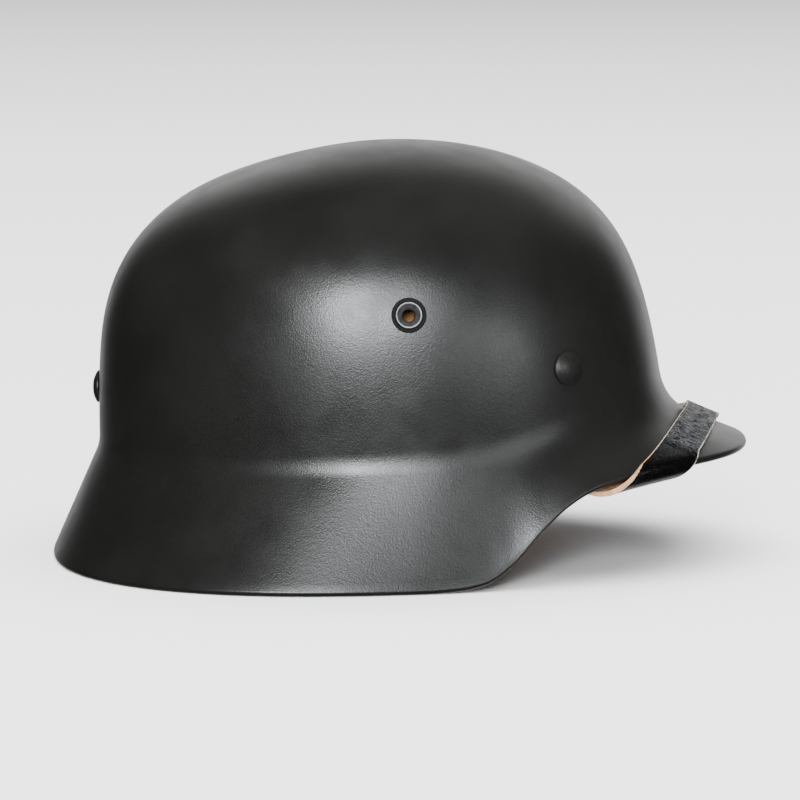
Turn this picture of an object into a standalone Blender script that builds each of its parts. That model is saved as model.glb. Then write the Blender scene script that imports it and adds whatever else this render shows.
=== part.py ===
"""Pressed steel helmet with a riveted liner and a leather chin strap laid up over its visor.

Metres, with +X towards the visor, +Y towards the wearer's left and +Z up. The origin is on the
plane that the rim rests on, under the middle of the shell's length.
The shell is described by meridians: curves of reach (distance from the vertical axis) and height,
one for each azimuth, where azimuth 0 points forward.
"""
import math

import bmesh
import bpy
import numpy as np
from mathutils import Matrix, Vector

MM = 0.001

# Shell
LENGTH = 286 * MM
HEIGHT = 169.5 * MM
SHEET = 1.2 * MM
DOME_DEPTH = 0.773 * HEIGHT
DOME_FRONT = 0.39 * LENGTH
DOME_REAR = 0.4335 * LENGTH
DOME_SIDE = 95 * MM
DOME_POWER = 2.2
DOME_TAPER = 0.03
RIM_SIDE = 111.5 * MM
RIM_TAPER = 0.15
RIM_FRONT_POWER = 2.2
RIM_REAR_POWER = 2.4
VISOR_HEIGHT = 0.26 * HEIGHT
WAIST_REAR = 0.2655 * HEIGHT
WAIST_FRONT = 0.354 * HEIGHT
WAIST_POWER = 1.6
ROLL_RADIUS = 1.6 * MM
ROLL_FLAT = math.radians(24)
HEM_HEIGHT = 6 * MM
HEM_DEPTH = 2.4 * MM
HEM_STEP = 1.0 * MM
HALF_COLUMNS = 24
BEND_PULL = 34 * MM
DOME_STEPS = 10
FILLET_STEPS = 4
SKIRT_STEPS = 2

# Reach of the dome where its surface has turned by an angle from the crown, as shares of
# DOME_FRONT, DOME_SIDE and DOME_REAR
DOME_SECTIONS = {
    "turn_deg": [0, 15, 30, 45, 60, 75, 90],
    "front": [0, 0.340, 0.620, 0.805, 0.905, 0.963, 1],
    "side": [0, 0.345, 0.665, 0.870, 0.962, 0.994, 1],
    "rear": [0, 0.305, 0.635, 0.860, 0.972, 1.000, 1],
}
# Rise of the rim from the neck to the visor: forward in shares of half the LENGTH, rise in
# shares of VISOR_HEIGHT
RIM_SECTIONS = {
    "forward": [-1, 0.07, 0.17, 0.24, 0.30, 0.40, 0.47, 0.54, 0.64, 0.82, 1],
    "rise": [0, 0, 0.015, 0.06, 0.18, 0.52, 0.72, 0.845, 0.925, 0.985, 1],
}
# Size of the fillet between dome and skirt, by azimuth away from the front
FILLET_FRONT = 16 * MM
FILLET_SIDE = 5 * MM
FILLET_REAR = 4 * MM
FILLET_SECTIONS = {
    "azimuth_deg": [0, 30, 50, 75, 100, 180],
    "front_share": [1, 0.95, 0.75, 0, 0, 0],
    "side_share": [0, 0, 0, 1, 1, 0],
    "rear_share": [0, 0, 0, 0, 0, 1],
}
FILLET_TOP = 0.98
FILLET_LIMIT = 0.75

# Vent bushings
VENT_AZIMUTH = math.radians(87.8)
VENT_HEIGHT = 0.6395 * HEIGHT
VENT_BORE = 2.35 * MM
VENT_TUBE = 4.6 * MM
VENT_LIP = 5.1 * MM
VENT_LIP_HALF = 0.45 * MM
VENT_LIP_RISE = 0.6 * MM
VENT_FLANGE = 6.95 * MM
VENT_FLANGE_THICKNESS = 0.6 * MM
VENT_INNER_FLANGE = 6.0 * MM
VENT_SIDES = 12

# Rivets
RIVET_FRONT_AZIMUTH = math.radians(48.2)
RIVET_FRONT_HEIGHT = 0.5027 * HEIGHT
RIVET_REAR_HEIGHT = 0.3982 * HEIGHT
RIVET_HEAD = 6.7 * MM
RIVET_HEAD_RISE = 2.0 * MM
RIVET_HEAD_EDGE = 0.5 * MM
RIVET_SHANK = 1.6 * MM
RIVET_LEG_LENGTH = 8 * MM
RIVET_LEG_THICKNESS = 0.8 * MM
RIVET_SIDES = 12

# Liner
GAP = 0.3 * MM
LINER_GAP = 0.5 * MM
BAND_HALF_HEIGHT = 12 * MM
BAND_THICKNESS = 1.0 * MM
SPRING_GAP = 0.8 * MM
SPRING_RISE = 6.0 * MM
SPRING_THICKNESS = 0.8 * MM
SPRING_HALF_LENGTH = 20 * MM
SPRING_HALF_WIDTH = 7 * MM
SPRING_FROM_LUG = 12 * MM
SPRING_FROM_RIVET = 35 * MM
CLAMP_THICKNESS = 0.8 * MM
CLAMP_TOP = 8 * MM
LEATHER = 1.4 * MM
LEATHER_HEM = 14 * MM
LEATHER_WALL_TOP = 28 * MM
TONGUES = 8
TONGUE_COLUMNS = 6
TONGUE_RISE = 0.3245 * HEIGHT
TONGUE_START = math.radians(15)
TONGUE_END = math.radians(76)
TONGUE_TIP_SHARE = 0.62
TONGUE_STEPS = 4

# Chin strap
STRAP_WIDTH = 13.8 * MM
STRAP_THICKNESS = 2.3 * MM
STRAP_LIFT = 1.2 * MM
STRAP_STEP = 6 * MM
STRAP_ACROSS = 5
BAIL_AZIMUTH = math.radians(92)
BAIL_DROP = 8.5 * MM
BAIL_SWING = math.radians(25)
BAIL_WIRE = 1.2 * MM
BAIL_LENGTH = 11 * MM
BAIL_CORNER = 2.2 * MM
LUG_GAP = 0.8 * MM
LUG_LENGTH = 9 * MM
LUG_WIDTH = 12 * MM
LUG_THICKNESS = 1.0 * MM
EYE_WALL = 1.0 * MM
EYE_WIDTH = STRAP_WIDTH - 4 * GAP
EYE_SIDES = 10
WIRE_SIDES = 6
STRAP_END_REACH = 54 * MM
LEAVE_PULL = 0.6
FLAT_SHARE = 0.3
FREE_BOW = 4 * MM
HOLE_PITCH = 12.5 * MM
HOLE_WIDTH = 1.9 * MM
HOLE_LENGTH = 3.2 * MM
HOLE_COUNT = 5
HOLE_FIRST = -38 * MM
HOLE_SIDES = 8
BUCKLE_FROM_BAIL = 23 * MM
BUCKLE_LENGTH = 13 * MM
BUCKLE_WIRE = 0.9 * MM
BUCKLE_CORNER = 1.8 * MM
BUCKLE_SIDE_GAP = 0.6 * MM
PRONG_RADIUS = 0.8 * MM
PRONG_SLOT_LENGTH = 11 * MM
PRONG_SLOT_BACK = 5.2 * MM
PRONG_SLOT_WIDTH = 2.5 * MM
TAIL_LENGTH = 16 * MM

# Route of the strap's centre line from the front of the visor down each side: along the rim in
# shares of half the LENGTH, up from the rim in shares of STRAP_WIDTH (below 0 it is folded under
# the rim and lies inside the shell), and lift off the steel in shares of STRAP_LIFT
ROUTE_RIGHT = {
    "along": [0, 0.175, 0.336, 0.510, 0.630, 0.710, 0.776],
    "up": [1.47, 1.41, 1.02, 0.25, -0.34, -0.70, -1.05],
    "lift": [1.60, 1.50, 1.40, 1.15, 1.25, 1.40, 1.45],
}
ROUTE_LEFT = {
    "along": [0, 0.150, 0.300, 0.430, 0.550, 0.680, 0.800],
    "up": [1.47, 1.10, 0.50, -0.05, -0.45, -0.90, -1.50],
    "lift": [1.60, 1.00, 0.80, 0.90, 1.0, 1.2, 1.8],
}
# Rise of the long strap from under the buckle's roller to over its hinge bar: run in shares of
# BUCKLE_LENGTH, height in shares of the height over the hinge
BUCKLE_RAMP = {
    "run": [0.3, 0.6, 0.85, 1, 1.2],
    "height": [0, 0.45, 0.95, 1, 1],
}
RIGHT = -1
LEFT = 1

COLORS = {
    "paint": ((0.060, 0.062, 0.058), 0.45, 0.0),
    "bushing": ((0.060, 0.062, 0.058), 0.40, 0.0),
    "steel": ((0.42, 0.42, 0.40), 0.45, 1.0),
    "tan_leather": ((0.42, 0.25, 0.13), 0.75, 0.0),
    "black_leather": ((0.020, 0.020, 0.021), 0.40, 0.0),
}


def clear_scene():
    """Remove every object that the file starts with."""
    for old in list(bpy.data.objects):
        bpy.data.objects.remove(old, do_unlink=True)


def material(name):
    """Material of the given name, made on first use."""
    found = bpy.data.materials.get(name)
    if found:
        return found
    color, roughness, metallic = COLORS[name]
    made = bpy.data.materials.new(name)
    made.use_nodes = True
    shader = made.node_tree.nodes["Principled BSDF"]
    shader.inputs["Base Color"].default_value = (*color, 1)
    shader.inputs["Roughness"].default_value = roughness
    shader.inputs["Metallic"].default_value = metallic
    return made


def level_curve(x, knots, values):
    """Monotone cubic through the knots: it never rises above or dips below its values."""
    knots, values = np.asarray(knots, float), np.asarray(values, float)
    step = np.diff(knots)
    slope = np.diff(values) / step
    tangent = np.concatenate([slope[:1], np.zeros(len(slope) - 1), slope[-1:]])
    for i in range(1, len(slope)):
        if slope[i - 1] * slope[i] > 0:
            before, after = 2 * step[i] + step[i - 1], step[i] + 2 * step[i - 1]
            tangent[i] = (before + after) / (before / slope[i - 1] + after / slope[i])
    i = np.clip(np.searchsorted(knots, x) - 1, 0, len(step) - 1)
    s = (x - knots[i]) / step[i]
    ends = values[i] * (1 + 2 * s) * (1 - s) ** 2 + values[i + 1] * s * s * (3 - 2 * s)
    return ends + step[i] * (tangent[i] * s * (1 - s) ** 2 + tangent[i + 1] * s * s * (s - 1))


def smooth_curve(x, knots, values):
    """Natural cubic spline through the knots."""
    knots, values = np.asarray(knots, float), np.asarray(values, float)
    count, step = len(knots), np.diff(knots)
    system, right = np.eye(count), np.zeros(count)
    for i in range(1, count - 1):
        system[i, i - 1:i + 2] = step[i - 1], 2 * (step[i - 1] + step[i]), step[i]
        right[i] = 6 * ((values[i + 1] - values[i]) / step[i] - (values[i] - values[i - 1]) / step[i - 1])
    bend = np.linalg.solve(system, right)
    i = np.clip(np.searchsorted(knots, x) - 1, 0, count - 2)
    after, before, gap = x - knots[i], knots[i + 1] - x, step[i]
    cubic = (bend[i] * before ** 3 + bend[i + 1] * after ** 3) / (6 * gap)
    low, high = values[i] / gap - bend[i] * gap / 6, values[i + 1] / gap - bend[i + 1] * gap / 6
    return cubic + low * before + high * after


def egg(azimuth, front, side, rear, taper, front_power, rear_power):
    """Reach of a closed oval that has its own length to the front, side and rear."""
    cosine, sine = np.cos(azimuth), np.sin(azimuth)
    ahead = cosine > 0
    length, power = np.where(ahead, front, rear), np.where(ahead, front_power, rear_power)
    width = side * (1 - taper * cosine)
    total = (np.abs(cosine) / length) ** power + (np.abs(sine) / width) ** power
    return total ** (-1 / power)


def rim_line(azimuth):
    """Reach and height of the rim's lowest line."""
    reach = egg(azimuth, LENGTH / 2, RIM_SIDE, LENGTH / 2, RIM_TAPER, RIM_FRONT_POWER, RIM_REAR_POWER)
    forward = reach * np.cos(azimuth) / (LENGTH / 2)
    rise = level_curve(np.clip(forward, -1, 1), RIM_SECTIONS["forward"], RIM_SECTIONS["rise"])
    return reach, VISOR_HEIGHT * rise


def dome_meridian(azimuth, turn):
    """Reach and height of the dome where it has turned by an angle from the crown."""
    shares = [smooth_curve(np.degrees(turn), DOME_SECTIONS["turn_deg"], DOME_SECTIONS[name])
              for name in ("front", "side", "rear")]
    front, side, rear = (np.maximum(share, 1e-9) for share in shares)
    reach = egg(azimuth, DOME_FRONT * front, DOME_SIDE * side, DOME_REAR * rear,
                DOME_TAPER, DOME_POWER, DOME_POWER)
    return np.stack([reach, HEIGHT - DOME_DEPTH * (1 - np.cos(turn)) + 0 * reach])


def dome_turn(height):
    """Turn of the dome at a height."""
    return np.arccos(np.clip(1 - (HEIGHT - height) / DOME_DEPTH, -1, 1))


def unit(vectors, axis=-1):
    """Vectors scaled to length one."""
    return vectors / np.linalg.norm(vectors, axis=axis, keepdims=True)


def shell_lines(azimuth):
    """Construction points of the shell's meridians, as reach and height.

    roll: centre of the rim's roll; down, out: directions along and off the skirt;
    corner: where dome and skirt would meet; top, bottom: ends of the fillet; edge: skirt's end.
    """
    reach, rise = rim_line(azimuth)
    base = egg(azimuth, DOME_FRONT, DOME_SIDE, DOME_REAR, DOME_TAPER, DOME_POWER, DOME_POWER)
    ahead = np.clip((base * np.cos(azimuth) + DOME_REAR) / (DOME_FRONT + DOME_REAR), 0, 1)
    waist = WAIST_REAR + (WAIST_FRONT - WAIST_REAR) * ahead ** WAIST_POWER
    roll = np.stack([reach - ROLL_RADIUS, rise + ROLL_RADIUS * math.cos(ROLL_FLAT)])
    around = np.degrees(np.abs((azimuth + np.pi) % (2 * np.pi) - np.pi))
    arm = sum(size * level_curve(around, FILLET_SECTIONS["azimuth_deg"], FILLET_SECTIONS[share])
              for size, share in ((FILLET_FRONT, "front_share"), (FILLET_SIDE, "side_share"),
                                  (FILLET_REAR, "rear_share")))
    turn = dome_turn(waist)
    arm = np.minimum(arm, FILLET_LIMIT * np.linalg.norm(roll - dome_meridian(azimuth, turn), axis=0))
    turn = dome_turn(waist + FILLET_TOP * arm)
    top = dome_meridian(azimuth, turn)
    wall = unit(dome_meridian(azimuth, turn + 1e-4) - top, axis=0)
    corner = top + wall * arm
    out = np.array([[0, -1], [1, 0]]) @ unit(roll - corner, axis=0)
    edge = roll + ROLL_RADIUS * out
    down = unit(edge - corner, axis=0)
    out = np.stack([-down[1], down[0]])
    return {"roll": roll, "down": down, "out": out, "corner": corner, "top": top, "turn": turn,
            "arm": arm, "bottom": corner + down * arm, "edge": edge}


def outer_meridians(azimuth, dome_steps, fillet_steps, skirt_steps):
    """Outer skin from the crown to the end of the skirt, as rows of reach and height."""
    lines = shell_lines(azimuth)
    rows = [dome_meridian(azimuth, lines["turn"] * i / dome_steps) for i in range(dome_steps + 1)]
    rows[0][0] = 0
    for i in range(1, fillet_steps + 1):
        s = i / fillet_steps
        rows.append((1 - s) ** 2 * lines["top"] + 2 * s * (1 - s) * lines["corner"] + s * s * lines["bottom"])
    for i in range(1, skirt_steps + 1):
        rows.append(lines["bottom"] + (lines["edge"] - lines["bottom"]) * i / skirt_steps)
    return np.array(rows), lines


def inward(rows, depth):
    """Meridian rows moved inwards by a depth, square to the sheet."""
    run = unit(np.gradient(rows, axis=0), axis=1)
    out = np.stack([-run[:, 1], run[:, 0]], axis=1)
    out[0] = np.array([[0.0], [1.0]])
    return rows - depth * out


def roll_meridians(azimuth, lines):
    """Round edge of the rim from the outer skin to the inner one, with a flat underneath."""
    start = np.arctan2(lines["out"][1], lines["out"][0])
    lowest = -math.pi / 2
    rows = []
    for begin, end in ((start, lowest + ROLL_FLAT), (lowest - ROLL_FLAT, start - math.pi)):
        for share in (0, 0.5, 1):
            angle = begin + (end - begin) * share
            rows.append(lines["roll"] + ROLL_RADIUS * np.stack([np.cos(angle), np.sin(angle)]))
    return np.array(rows)[1:]


FINE_AZIMUTHS = np.linspace(0, math.pi, 1441)


def rim_steps():
    """Steps in space between the rim's points at FINE_AZIMUTHS."""
    reach, height = rim_line(FINE_AZIMUTHS)
    line = np.stack([reach * np.cos(FINE_AZIMUTHS), reach * np.sin(FINE_AZIMUTHS), height], axis=1)
    return np.diff(line, axis=0)


def rim_distances():
    """Distance run along the rim up to each of FINE_AZIMUTHS."""
    return np.concatenate([[0], np.cumsum(np.linalg.norm(rim_steps(), axis=1))])


def column_azimuths():
    """Azimuths of the shell's columns, at even steps along the rim, closer where it rises and bends."""
    step = rim_steps()
    incline = np.arctan2(step[:, 2], np.hypot(step[:, 0], step[:, 1]))
    bends = np.abs(np.diff(incline, prepend=incline[0], append=incline[-1]))
    measure = rim_distances() + BEND_PULL * np.cumsum(bends)
    half = np.interp(np.linspace(0, measure[-1], HALF_COLUMNS + 1), measure, FINE_AZIMUTHS)
    half[0], half[-1] = 0, math.pi
    return np.concatenate([half, -half[1:-1][::-1]])


def to_space(rows, azimuth):
    """Points in space of rows of reach and height."""
    reach, height = rows[..., 0, :], rows[..., 1, :]
    return np.stack([reach * np.cos(azimuth), reach * np.sin(azimuth), height], axis=-1)


def grid_faces(rows, columns, close_rows, close_columns, first=0):
    """Quads of a grid of vertices that is numbered row by row."""
    faces = []
    for i in range(rows if close_rows else rows - 1):
        for j in range(columns if close_columns else columns - 1):
            k, n = (i + 1) % rows, (j + 1) % columns
            faces.append([first + i * columns + j, first + i * columns + n,
                          first + k * columns + n, first + k * columns + j])
    return faces


def add_solid(name, vertices, faces, finish):
    """Object made of vertices and faces, with all faces turned outwards and round parts smooth."""
    mesh = bpy.data.meshes.new(name)
    mesh.from_pydata([tuple(map(float, v)) for v in vertices], [], faces)
    work = bmesh.new()
    work.from_mesh(mesh)
    bmesh.ops.recalc_face_normals(work, faces=work.faces)
    work.to_mesh(mesh)
    work.free()
    mesh.shade_smooth()
    mesh.set_sharp_from_angle(angle=math.radians(35))
    mesh.materials.append(material(finish))
    made = bpy.data.objects.new(name, mesh)
    bpy.context.scene.collection.objects.link(made)
    return made


def frame_matrix(origin, along, out):
    """Placement with its X axis near a direction and its Z axis square off the surface."""
    z = unit(np.asarray(out))
    x = unit(np.asarray(along) - z * np.dot(along, z))
    y = np.cross(z, x)
    turn = Matrix(np.stack([x, y, z], axis=1).tolist()).to_4x4()
    return Matrix.Translation(Vector(origin)) @ turn


def turned(name, profile, sides, finish, place):
    """Solid of revolution round its own Z axis from a closed profile of radius and height.

    A profile that starts and ends on the axis has a vertex at each end, and a ring has none.
    """
    profile = np.asarray(profile, float)
    solid = profile[0, 0] == 0
    ring = profile[1:-1] if solid else profile
    angles = np.arange(sides) * 2 * math.pi / sides
    points = np.stack([ring[:, :1] * np.cos(angles), ring[:, :1] * np.sin(angles),
                       np.repeat(ring[:, 1:], sides, axis=1)], axis=-1).reshape(-1, 3)
    faces = grid_faces(len(ring), sides, not solid, True)
    if solid:
        last = len(points)
        points = np.concatenate([points, [[0, 0, profile[0, 1]], [0, 0, profile[-1, 1]]]])
        for j in range(sides):
            n = (j + 1) % sides
            faces.append([last, j, n])
            faces.append([last + 1, last - sides + j, last - sides + n])
    made = add_solid(name, points, faces, finish)
    made.matrix_world = place
    return made


def combine(target, tool, operation):
    """Boolean of a target with a tool that stays hidden."""
    change = target.modifiers.new(operation.lower(), "BOOLEAN")
    change.operation = operation
    change.solver = "EXACT"
    change.object = tool
    tool.hide_render = True
    tool.display_type = "WIRE"


def rod(name, radius, length, sides, place):
    """Plain cylinder along its own Z axis, centred on its place."""
    half = length / 2
    return turned(name, [(0, half), (radius, half), (radius, -half), (0, -half)], sides, "steel", place)


def shell_seat(azimuth, height):
    """Point on the outer skin of the dome, its outward normal and its horizontal tangent."""
    def point(at_azimuth, at_turn):
        return to_space(dome_meridian(np.array([at_azimuth]), np.array([at_turn])), np.array([at_azimuth]))[0]

    turn, small = float(dome_turn(height)), 1e-4
    across = point(azimuth + small, turn) - point(azimuth - small, turn)
    down = point(azimuth, turn + small) - point(azimuth, turn - small)
    return point(azimuth, turn), unit(np.cross(down, across)), unit(across)


def build_shell(azimuth):
    """Steel shell: outer skin, rolled rim with its hem, and inner skin, as one closed wall."""
    outer, lines = outer_meridians(azimuth, DOME_STEPS, FILLET_STEPS, SKIRT_STEPS)
    up, out, edge = -lines["down"], lines["out"], lines["edge"]
    hem_end = edge + up * HEM_HEIGHT - out * HEM_DEPTH
    wall_start = edge + up * (HEM_HEIGHT + HEM_STEP) - out * SHEET
    wall_end = lines["bottom"] - out * SHEET
    skirt = [wall_start + (wall_end - wall_start) * i / SKIRT_STEPS for i in range(SKIRT_STEPS + 1)]
    inner = inward(outer, SHEET)[:-SKIRT_STEPS - 1][::-1]
    rows = np.concatenate([outer, roll_meridians(azimuth, lines), [hem_end], skirt, inner])
    points = to_space(rows, azimuth)
    columns = len(azimuth)
    rings = points[1:-1].reshape(-1, 3)
    faces = grid_faces(len(points) - 2, columns, False, True)
    crown, ceiling = len(rings), len(rings) + 1
    for j in range(columns):
        n = (j + 1) % columns
        faces.append([crown, j, n])
        faces.append([ceiling, crown - columns + j, crown - columns + n])
    vertices = np.concatenate([rings, points[:1, 0], points[-1:, 0]])
    return add_solid("shell", vertices, faces, "paint")


def build_bushings(shell):
    """Hollow vent bushings, each through a hole in the shell's side."""
    inside = -SHEET - LINER_GAP
    sag = 0.5 * VENT_INNER_FLANGE ** 2 / DOME_SIDE
    flange_top = GAP + VENT_FLANGE_THICKNESS
    clinch = inside - sag - 2 * VENT_FLANGE_THICKNESS
    profile = [
        (VENT_BORE, clinch),
        (VENT_BORE, -SHEET),
        (VENT_TUBE - GAP, flange_top),
        (VENT_LIP - VENT_LIP_HALF, flange_top + VENT_LIP_RISE * 0.7),
        (VENT_LIP, flange_top + VENT_LIP_RISE),
        (VENT_LIP + VENT_LIP_HALF, flange_top + VENT_LIP_RISE / 2),
        (VENT_LIP + VENT_LIP_HALF * 1.6, flange_top),
        (VENT_FLANGE - VENT_FLANGE_THICKNESS / 2, flange_top),
        (VENT_FLANGE, GAP + VENT_FLANGE_THICKNESS / 2),
        (VENT_FLANGE, GAP),
        (VENT_TUBE, GAP),
        (VENT_TUBE, inside - sag),
        (VENT_INNER_FLANGE, inside - sag),
        (VENT_INNER_FLANGE, inside - sag - VENT_FLANGE_THICKNESS),
        (VENT_INNER_FLANGE - VENT_FLANGE_THICKNESS, clinch),
    ]
    for name, side in (("right", RIGHT), ("left", LEFT)):
        point, normal, across = shell_seat(side * VENT_AZIMUTH, VENT_HEIGHT)
        place = frame_matrix(point, across, normal)
        turned("vent_bushing_" + name, profile, VENT_SIDES, "bushing", place)
        hole = rod("vent_hole_" + name, VENT_TUBE + GAP, 10 * SHEET, VENT_SIDES, place)
        combine(shell, hole, "DIFFERENCE")


def build_rivets(shell, band):
    """Liner rivets: a domed head outside, a shank, and two legs bent open behind the band."""
    legs = -SHEET - LINER_GAP - BAND_THICKNESS - LINER_GAP
    cap = []
    for i in range(4):
        share = i / 3
        cap.append((RIVET_HEAD * share, GAP + RIVET_HEAD_EDGE + RIVET_HEAD_RISE * (1 - share ** 2.4)))
    profile = cap + [(RIVET_HEAD, GAP), (RIVET_SHANK, GAP), (RIVET_SHANK, legs - RIVET_LEG_THICKNESS),
                     (0, legs - RIVET_LEG_THICKNESS)]
    seats = (("right", -RIVET_FRONT_AZIMUTH, RIVET_FRONT_HEIGHT),
             ("left", RIVET_FRONT_AZIMUTH, RIVET_FRONT_HEIGHT),
             ("rear", math.pi, RIVET_REAR_HEIGHT))
    for name, azimuth, height in seats:
        point, normal, across = shell_seat(azimuth, height)
        place = frame_matrix(point, across, normal)
        rivet = turned("liner_rivet_" + name, profile, RIVET_SIDES, "paint", place)
        leg = box("rivet_legs_" + name, (2 * RIVET_SHANK, 2 * RIVET_LEG_LENGTH, RIVET_LEG_THICKNESS),
                  (0, 0, legs - RIVET_LEG_THICKNESS / 2), place)
        combine(rivet, leg, "UNION")
        hole = rod("rivet_hole_" + name, RIVET_SHANK + GAP, 10 * SHEET, RIVET_SIDES, place)
        combine(shell, hole, "DIFFERENCE")
        combine(band, hole, "DIFFERENCE")


def box(name, size, centre, place):
    """Plain box given by its size and centre in a placement."""
    corners = [(x, y, z) for x in (-0.5, 0.5) for y in (-0.5, 0.5) for z in (-0.5, 0.5)]
    vertices = np.array(corners) * size + centre
    faces = [[0, 1, 3, 2], [4, 6, 7, 5], [0, 4, 5, 1], [2, 3, 7, 6], [0, 2, 6, 4], [1, 5, 7, 3]]
    made = add_solid(name, vertices, faces, "steel")
    made.matrix_world = place
    return made


def liner_level(azimuth):
    """Height of the liner's middle plane, which passes through the front and rear rivets."""
    front_reach = dome_meridian(RIVET_FRONT_AZIMUTH, dome_turn(RIVET_FRONT_HEIGHT))[0]
    front_x = front_reach * math.cos(RIVET_FRONT_AZIMUTH)
    rear_x = -dome_meridian(math.pi, dome_turn(RIVET_REAR_HEIGHT))[0]
    slope = (RIVET_FRONT_HEIGHT - RIVET_REAR_HEIGHT) / (front_x - rear_x)
    base = egg(azimuth, DOME_FRONT, DOME_SIDE, DOME_REAR, DOME_TAPER, DOME_POWER, DOME_POWER)
    return RIVET_REAR_HEIGHT + slope * (base * np.cos(azimuth) - rear_x)


def lining(azimuth, rise, inset):
    """Reach and height inside the dome: a rise over the liner's level, an inset from the steel."""
    azimuth = np.asarray(azimuth, float)
    turn = dome_turn(liner_level(azimuth) + rise)
    point = dome_meridian(azimuth, turn)
    run = unit(dome_meridian(azimuth, turn + 1e-3) - point, axis=0)
    return point - (SHEET + inset) * np.stack([-run[1], run[0]])


BAND_INSET = LINER_GAP
SPRING_INSET = BAND_INSET + BAND_THICKNESS + SPRING_GAP
HEM_INSET = SPRING_INSET + SPRING_RISE + SPRING_THICKNESS + GAP
CLAMP_INSET = HEM_INSET + LEATHER + GAP
WALL_INSET = CLAMP_INSET + CLAMP_THICKNESS + GAP


def build_ring(name, azimuth, inset, thickness, rises, finish):
    """Strip ring that follows the inside of the dome, with a corner at each of its rises."""
    section = [(rise, inset) for rise in rises] + [(rise, inset + thickness) for rise in rises[::-1]]
    rows = np.array([lining(azimuth, rise, depth) for rise, depth in section])
    points = to_space(rows, azimuth).reshape(-1, 3)
    return add_solid(name, points, grid_faces(len(section), len(azimuth), True, True), finish)


def spring_places():
    """Label and azimuth of each spring: in front, behind the strap's lugs, beside the rear rivet."""
    behind_lug = LUG_LENGTH / 2 + SPRING_FROM_LUG + SPRING_HALF_LENGTH
    side = BAIL_AZIMUTH + behind_lug / lining(BAIL_AZIMUTH, 0, SPRING_INSET)[0]
    beside_rivet = RIVET_LEG_LENGTH + SPRING_FROM_RIVET + SPRING_HALF_LENGTH
    nape = math.pi - beside_rivet / lining(math.pi, 0, SPRING_INSET)[0]
    return [("front", 0.0), ("side_right", -side), ("side_left", side),
            ("nape_right", -nape), ("nape_left", nape)]


def build_springs():
    """Bowed plates: their ends bear on the outer band and their backs on the leather's hem."""
    shares = np.array([-1, -0.75, -0.3, 0, 0.3, 0.75, 1])
    bow = SPRING_RISE * np.array([0, 0.12, 0.93, 1, 0.93, 0.12, 0])
    section = [(-1, 0), (1, 0), (1, SPRING_THICKNESS), (-1, SPRING_THICKNESS)]
    for label, centre in spring_places():
        azimuth = centre + shares * SPRING_HALF_LENGTH / lining(centre, 0, SPRING_INSET)[0]
        rows = np.array([lining(azimuth, rise * SPRING_HALF_WIDTH, SPRING_INSET + bow + depth)
                         for rise, depth in section])
        points = to_space(rows, azimuth)
        faces = grid_faces(4, len(shares), True, False)
        for end in (0, len(shares) - 1):
            faces.append([i * len(shares) + end for i in range(4)])
        add_solid("liner_spring_" + label, points.reshape(-1, 3), faces, "steel")


def tongue_rows(azimuth, inset):
    """Rows of one tongue, from the top of the leather wall in over the crown."""
    base = lining(azimuth, LEATHER_WALL_TOP, inset)
    middle = (azimuth[0] + azimuth[-1]) / 2
    rows = []
    for i in range(1, TONGUE_STEPS + 1):
        share = i / TONGUE_STEPS
        angle = TONGUE_START + (TONGUE_END - TONGUE_START) * share
        tip = 1 if i < TONGUE_STEPS else 0.7
        narrow = tip * (1 - (1 - TONGUE_TIP_SHARE) * share)
        turned_in = middle + (azimuth - middle) * narrow
        reach = base[0] * math.cos(angle) / math.cos(TONGUE_START)
        height = base[1] + TONGUE_RISE * (math.sin(angle) - math.sin(TONGUE_START))
        rows.append(to_space(np.stack([reach, height]), turned_in))
    return rows


def build_leather(azimuth):
    """Leather lining: its hem is folded round the inner band and its wall ends in tongues."""
    hem_top, hem = CLAMP_TOP, -LEATHER_HEM
    pocket = hem + LEATHER
    wall_back = WALL_INSET + LEATHER
    section = [(LEATHER_WALL_TOP, WALL_INSET), (hem_top, WALL_INSET), (pocket, WALL_INSET),
               (pocket, HEM_INSET + LEATHER), (hem_top, HEM_INSET + LEATHER), (hem_top, HEM_INSET),
               (hem, HEM_INSET), (hem, wall_back), (hem_top, wall_back), (LEATHER_WALL_TOP, wall_back)]
    columns = len(azimuth)
    rows = np.array([lining(azimuth, rise, inset) for rise, inset in section])
    vertices = list(to_space(rows, azimuth).reshape(-1, 3))
    faces = grid_faces(len(section), columns, False, True)
    last_row = (len(section) - 1) * columns
    for tongue in range(TONGUES):
        own = [(tongue * TONGUE_COLUMNS + j) % columns for j in range(TONGUE_COLUMNS + 1)]
        around = np.unwrap(azimuth[own])
        skins = []
        for start, inset in ((0, WALL_INSET), (last_row, wall_back)):
            grid = [[start + j for j in own]]
            for row in tongue_rows(around, inset):
                grid.append(list(range(len(vertices), len(vertices) + TONGUE_COLUMNS + 1)))
                vertices.extend(row)
            skins.append(grid)
            for lower, upper in zip(grid, grid[1:]):
                faces += [[lower[j], lower[j + 1], upper[j + 1], upper[j]] for j in range(TONGUE_COLUMNS)]
        back, face = skins
        for i in range(TONGUE_STEPS):
            faces += [[back[i][j], back[i + 1][j], face[i + 1][j], face[i][j]] for j in (0, TONGUE_COLUMNS)]
        faces += [[back[-1][j], back[-1][j + 1], face[-1][j + 1], face[-1][j]] for j in range(TONGUE_COLUMNS)]
    return add_solid("liner_leather", vertices, faces, "tan_leather")


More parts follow.
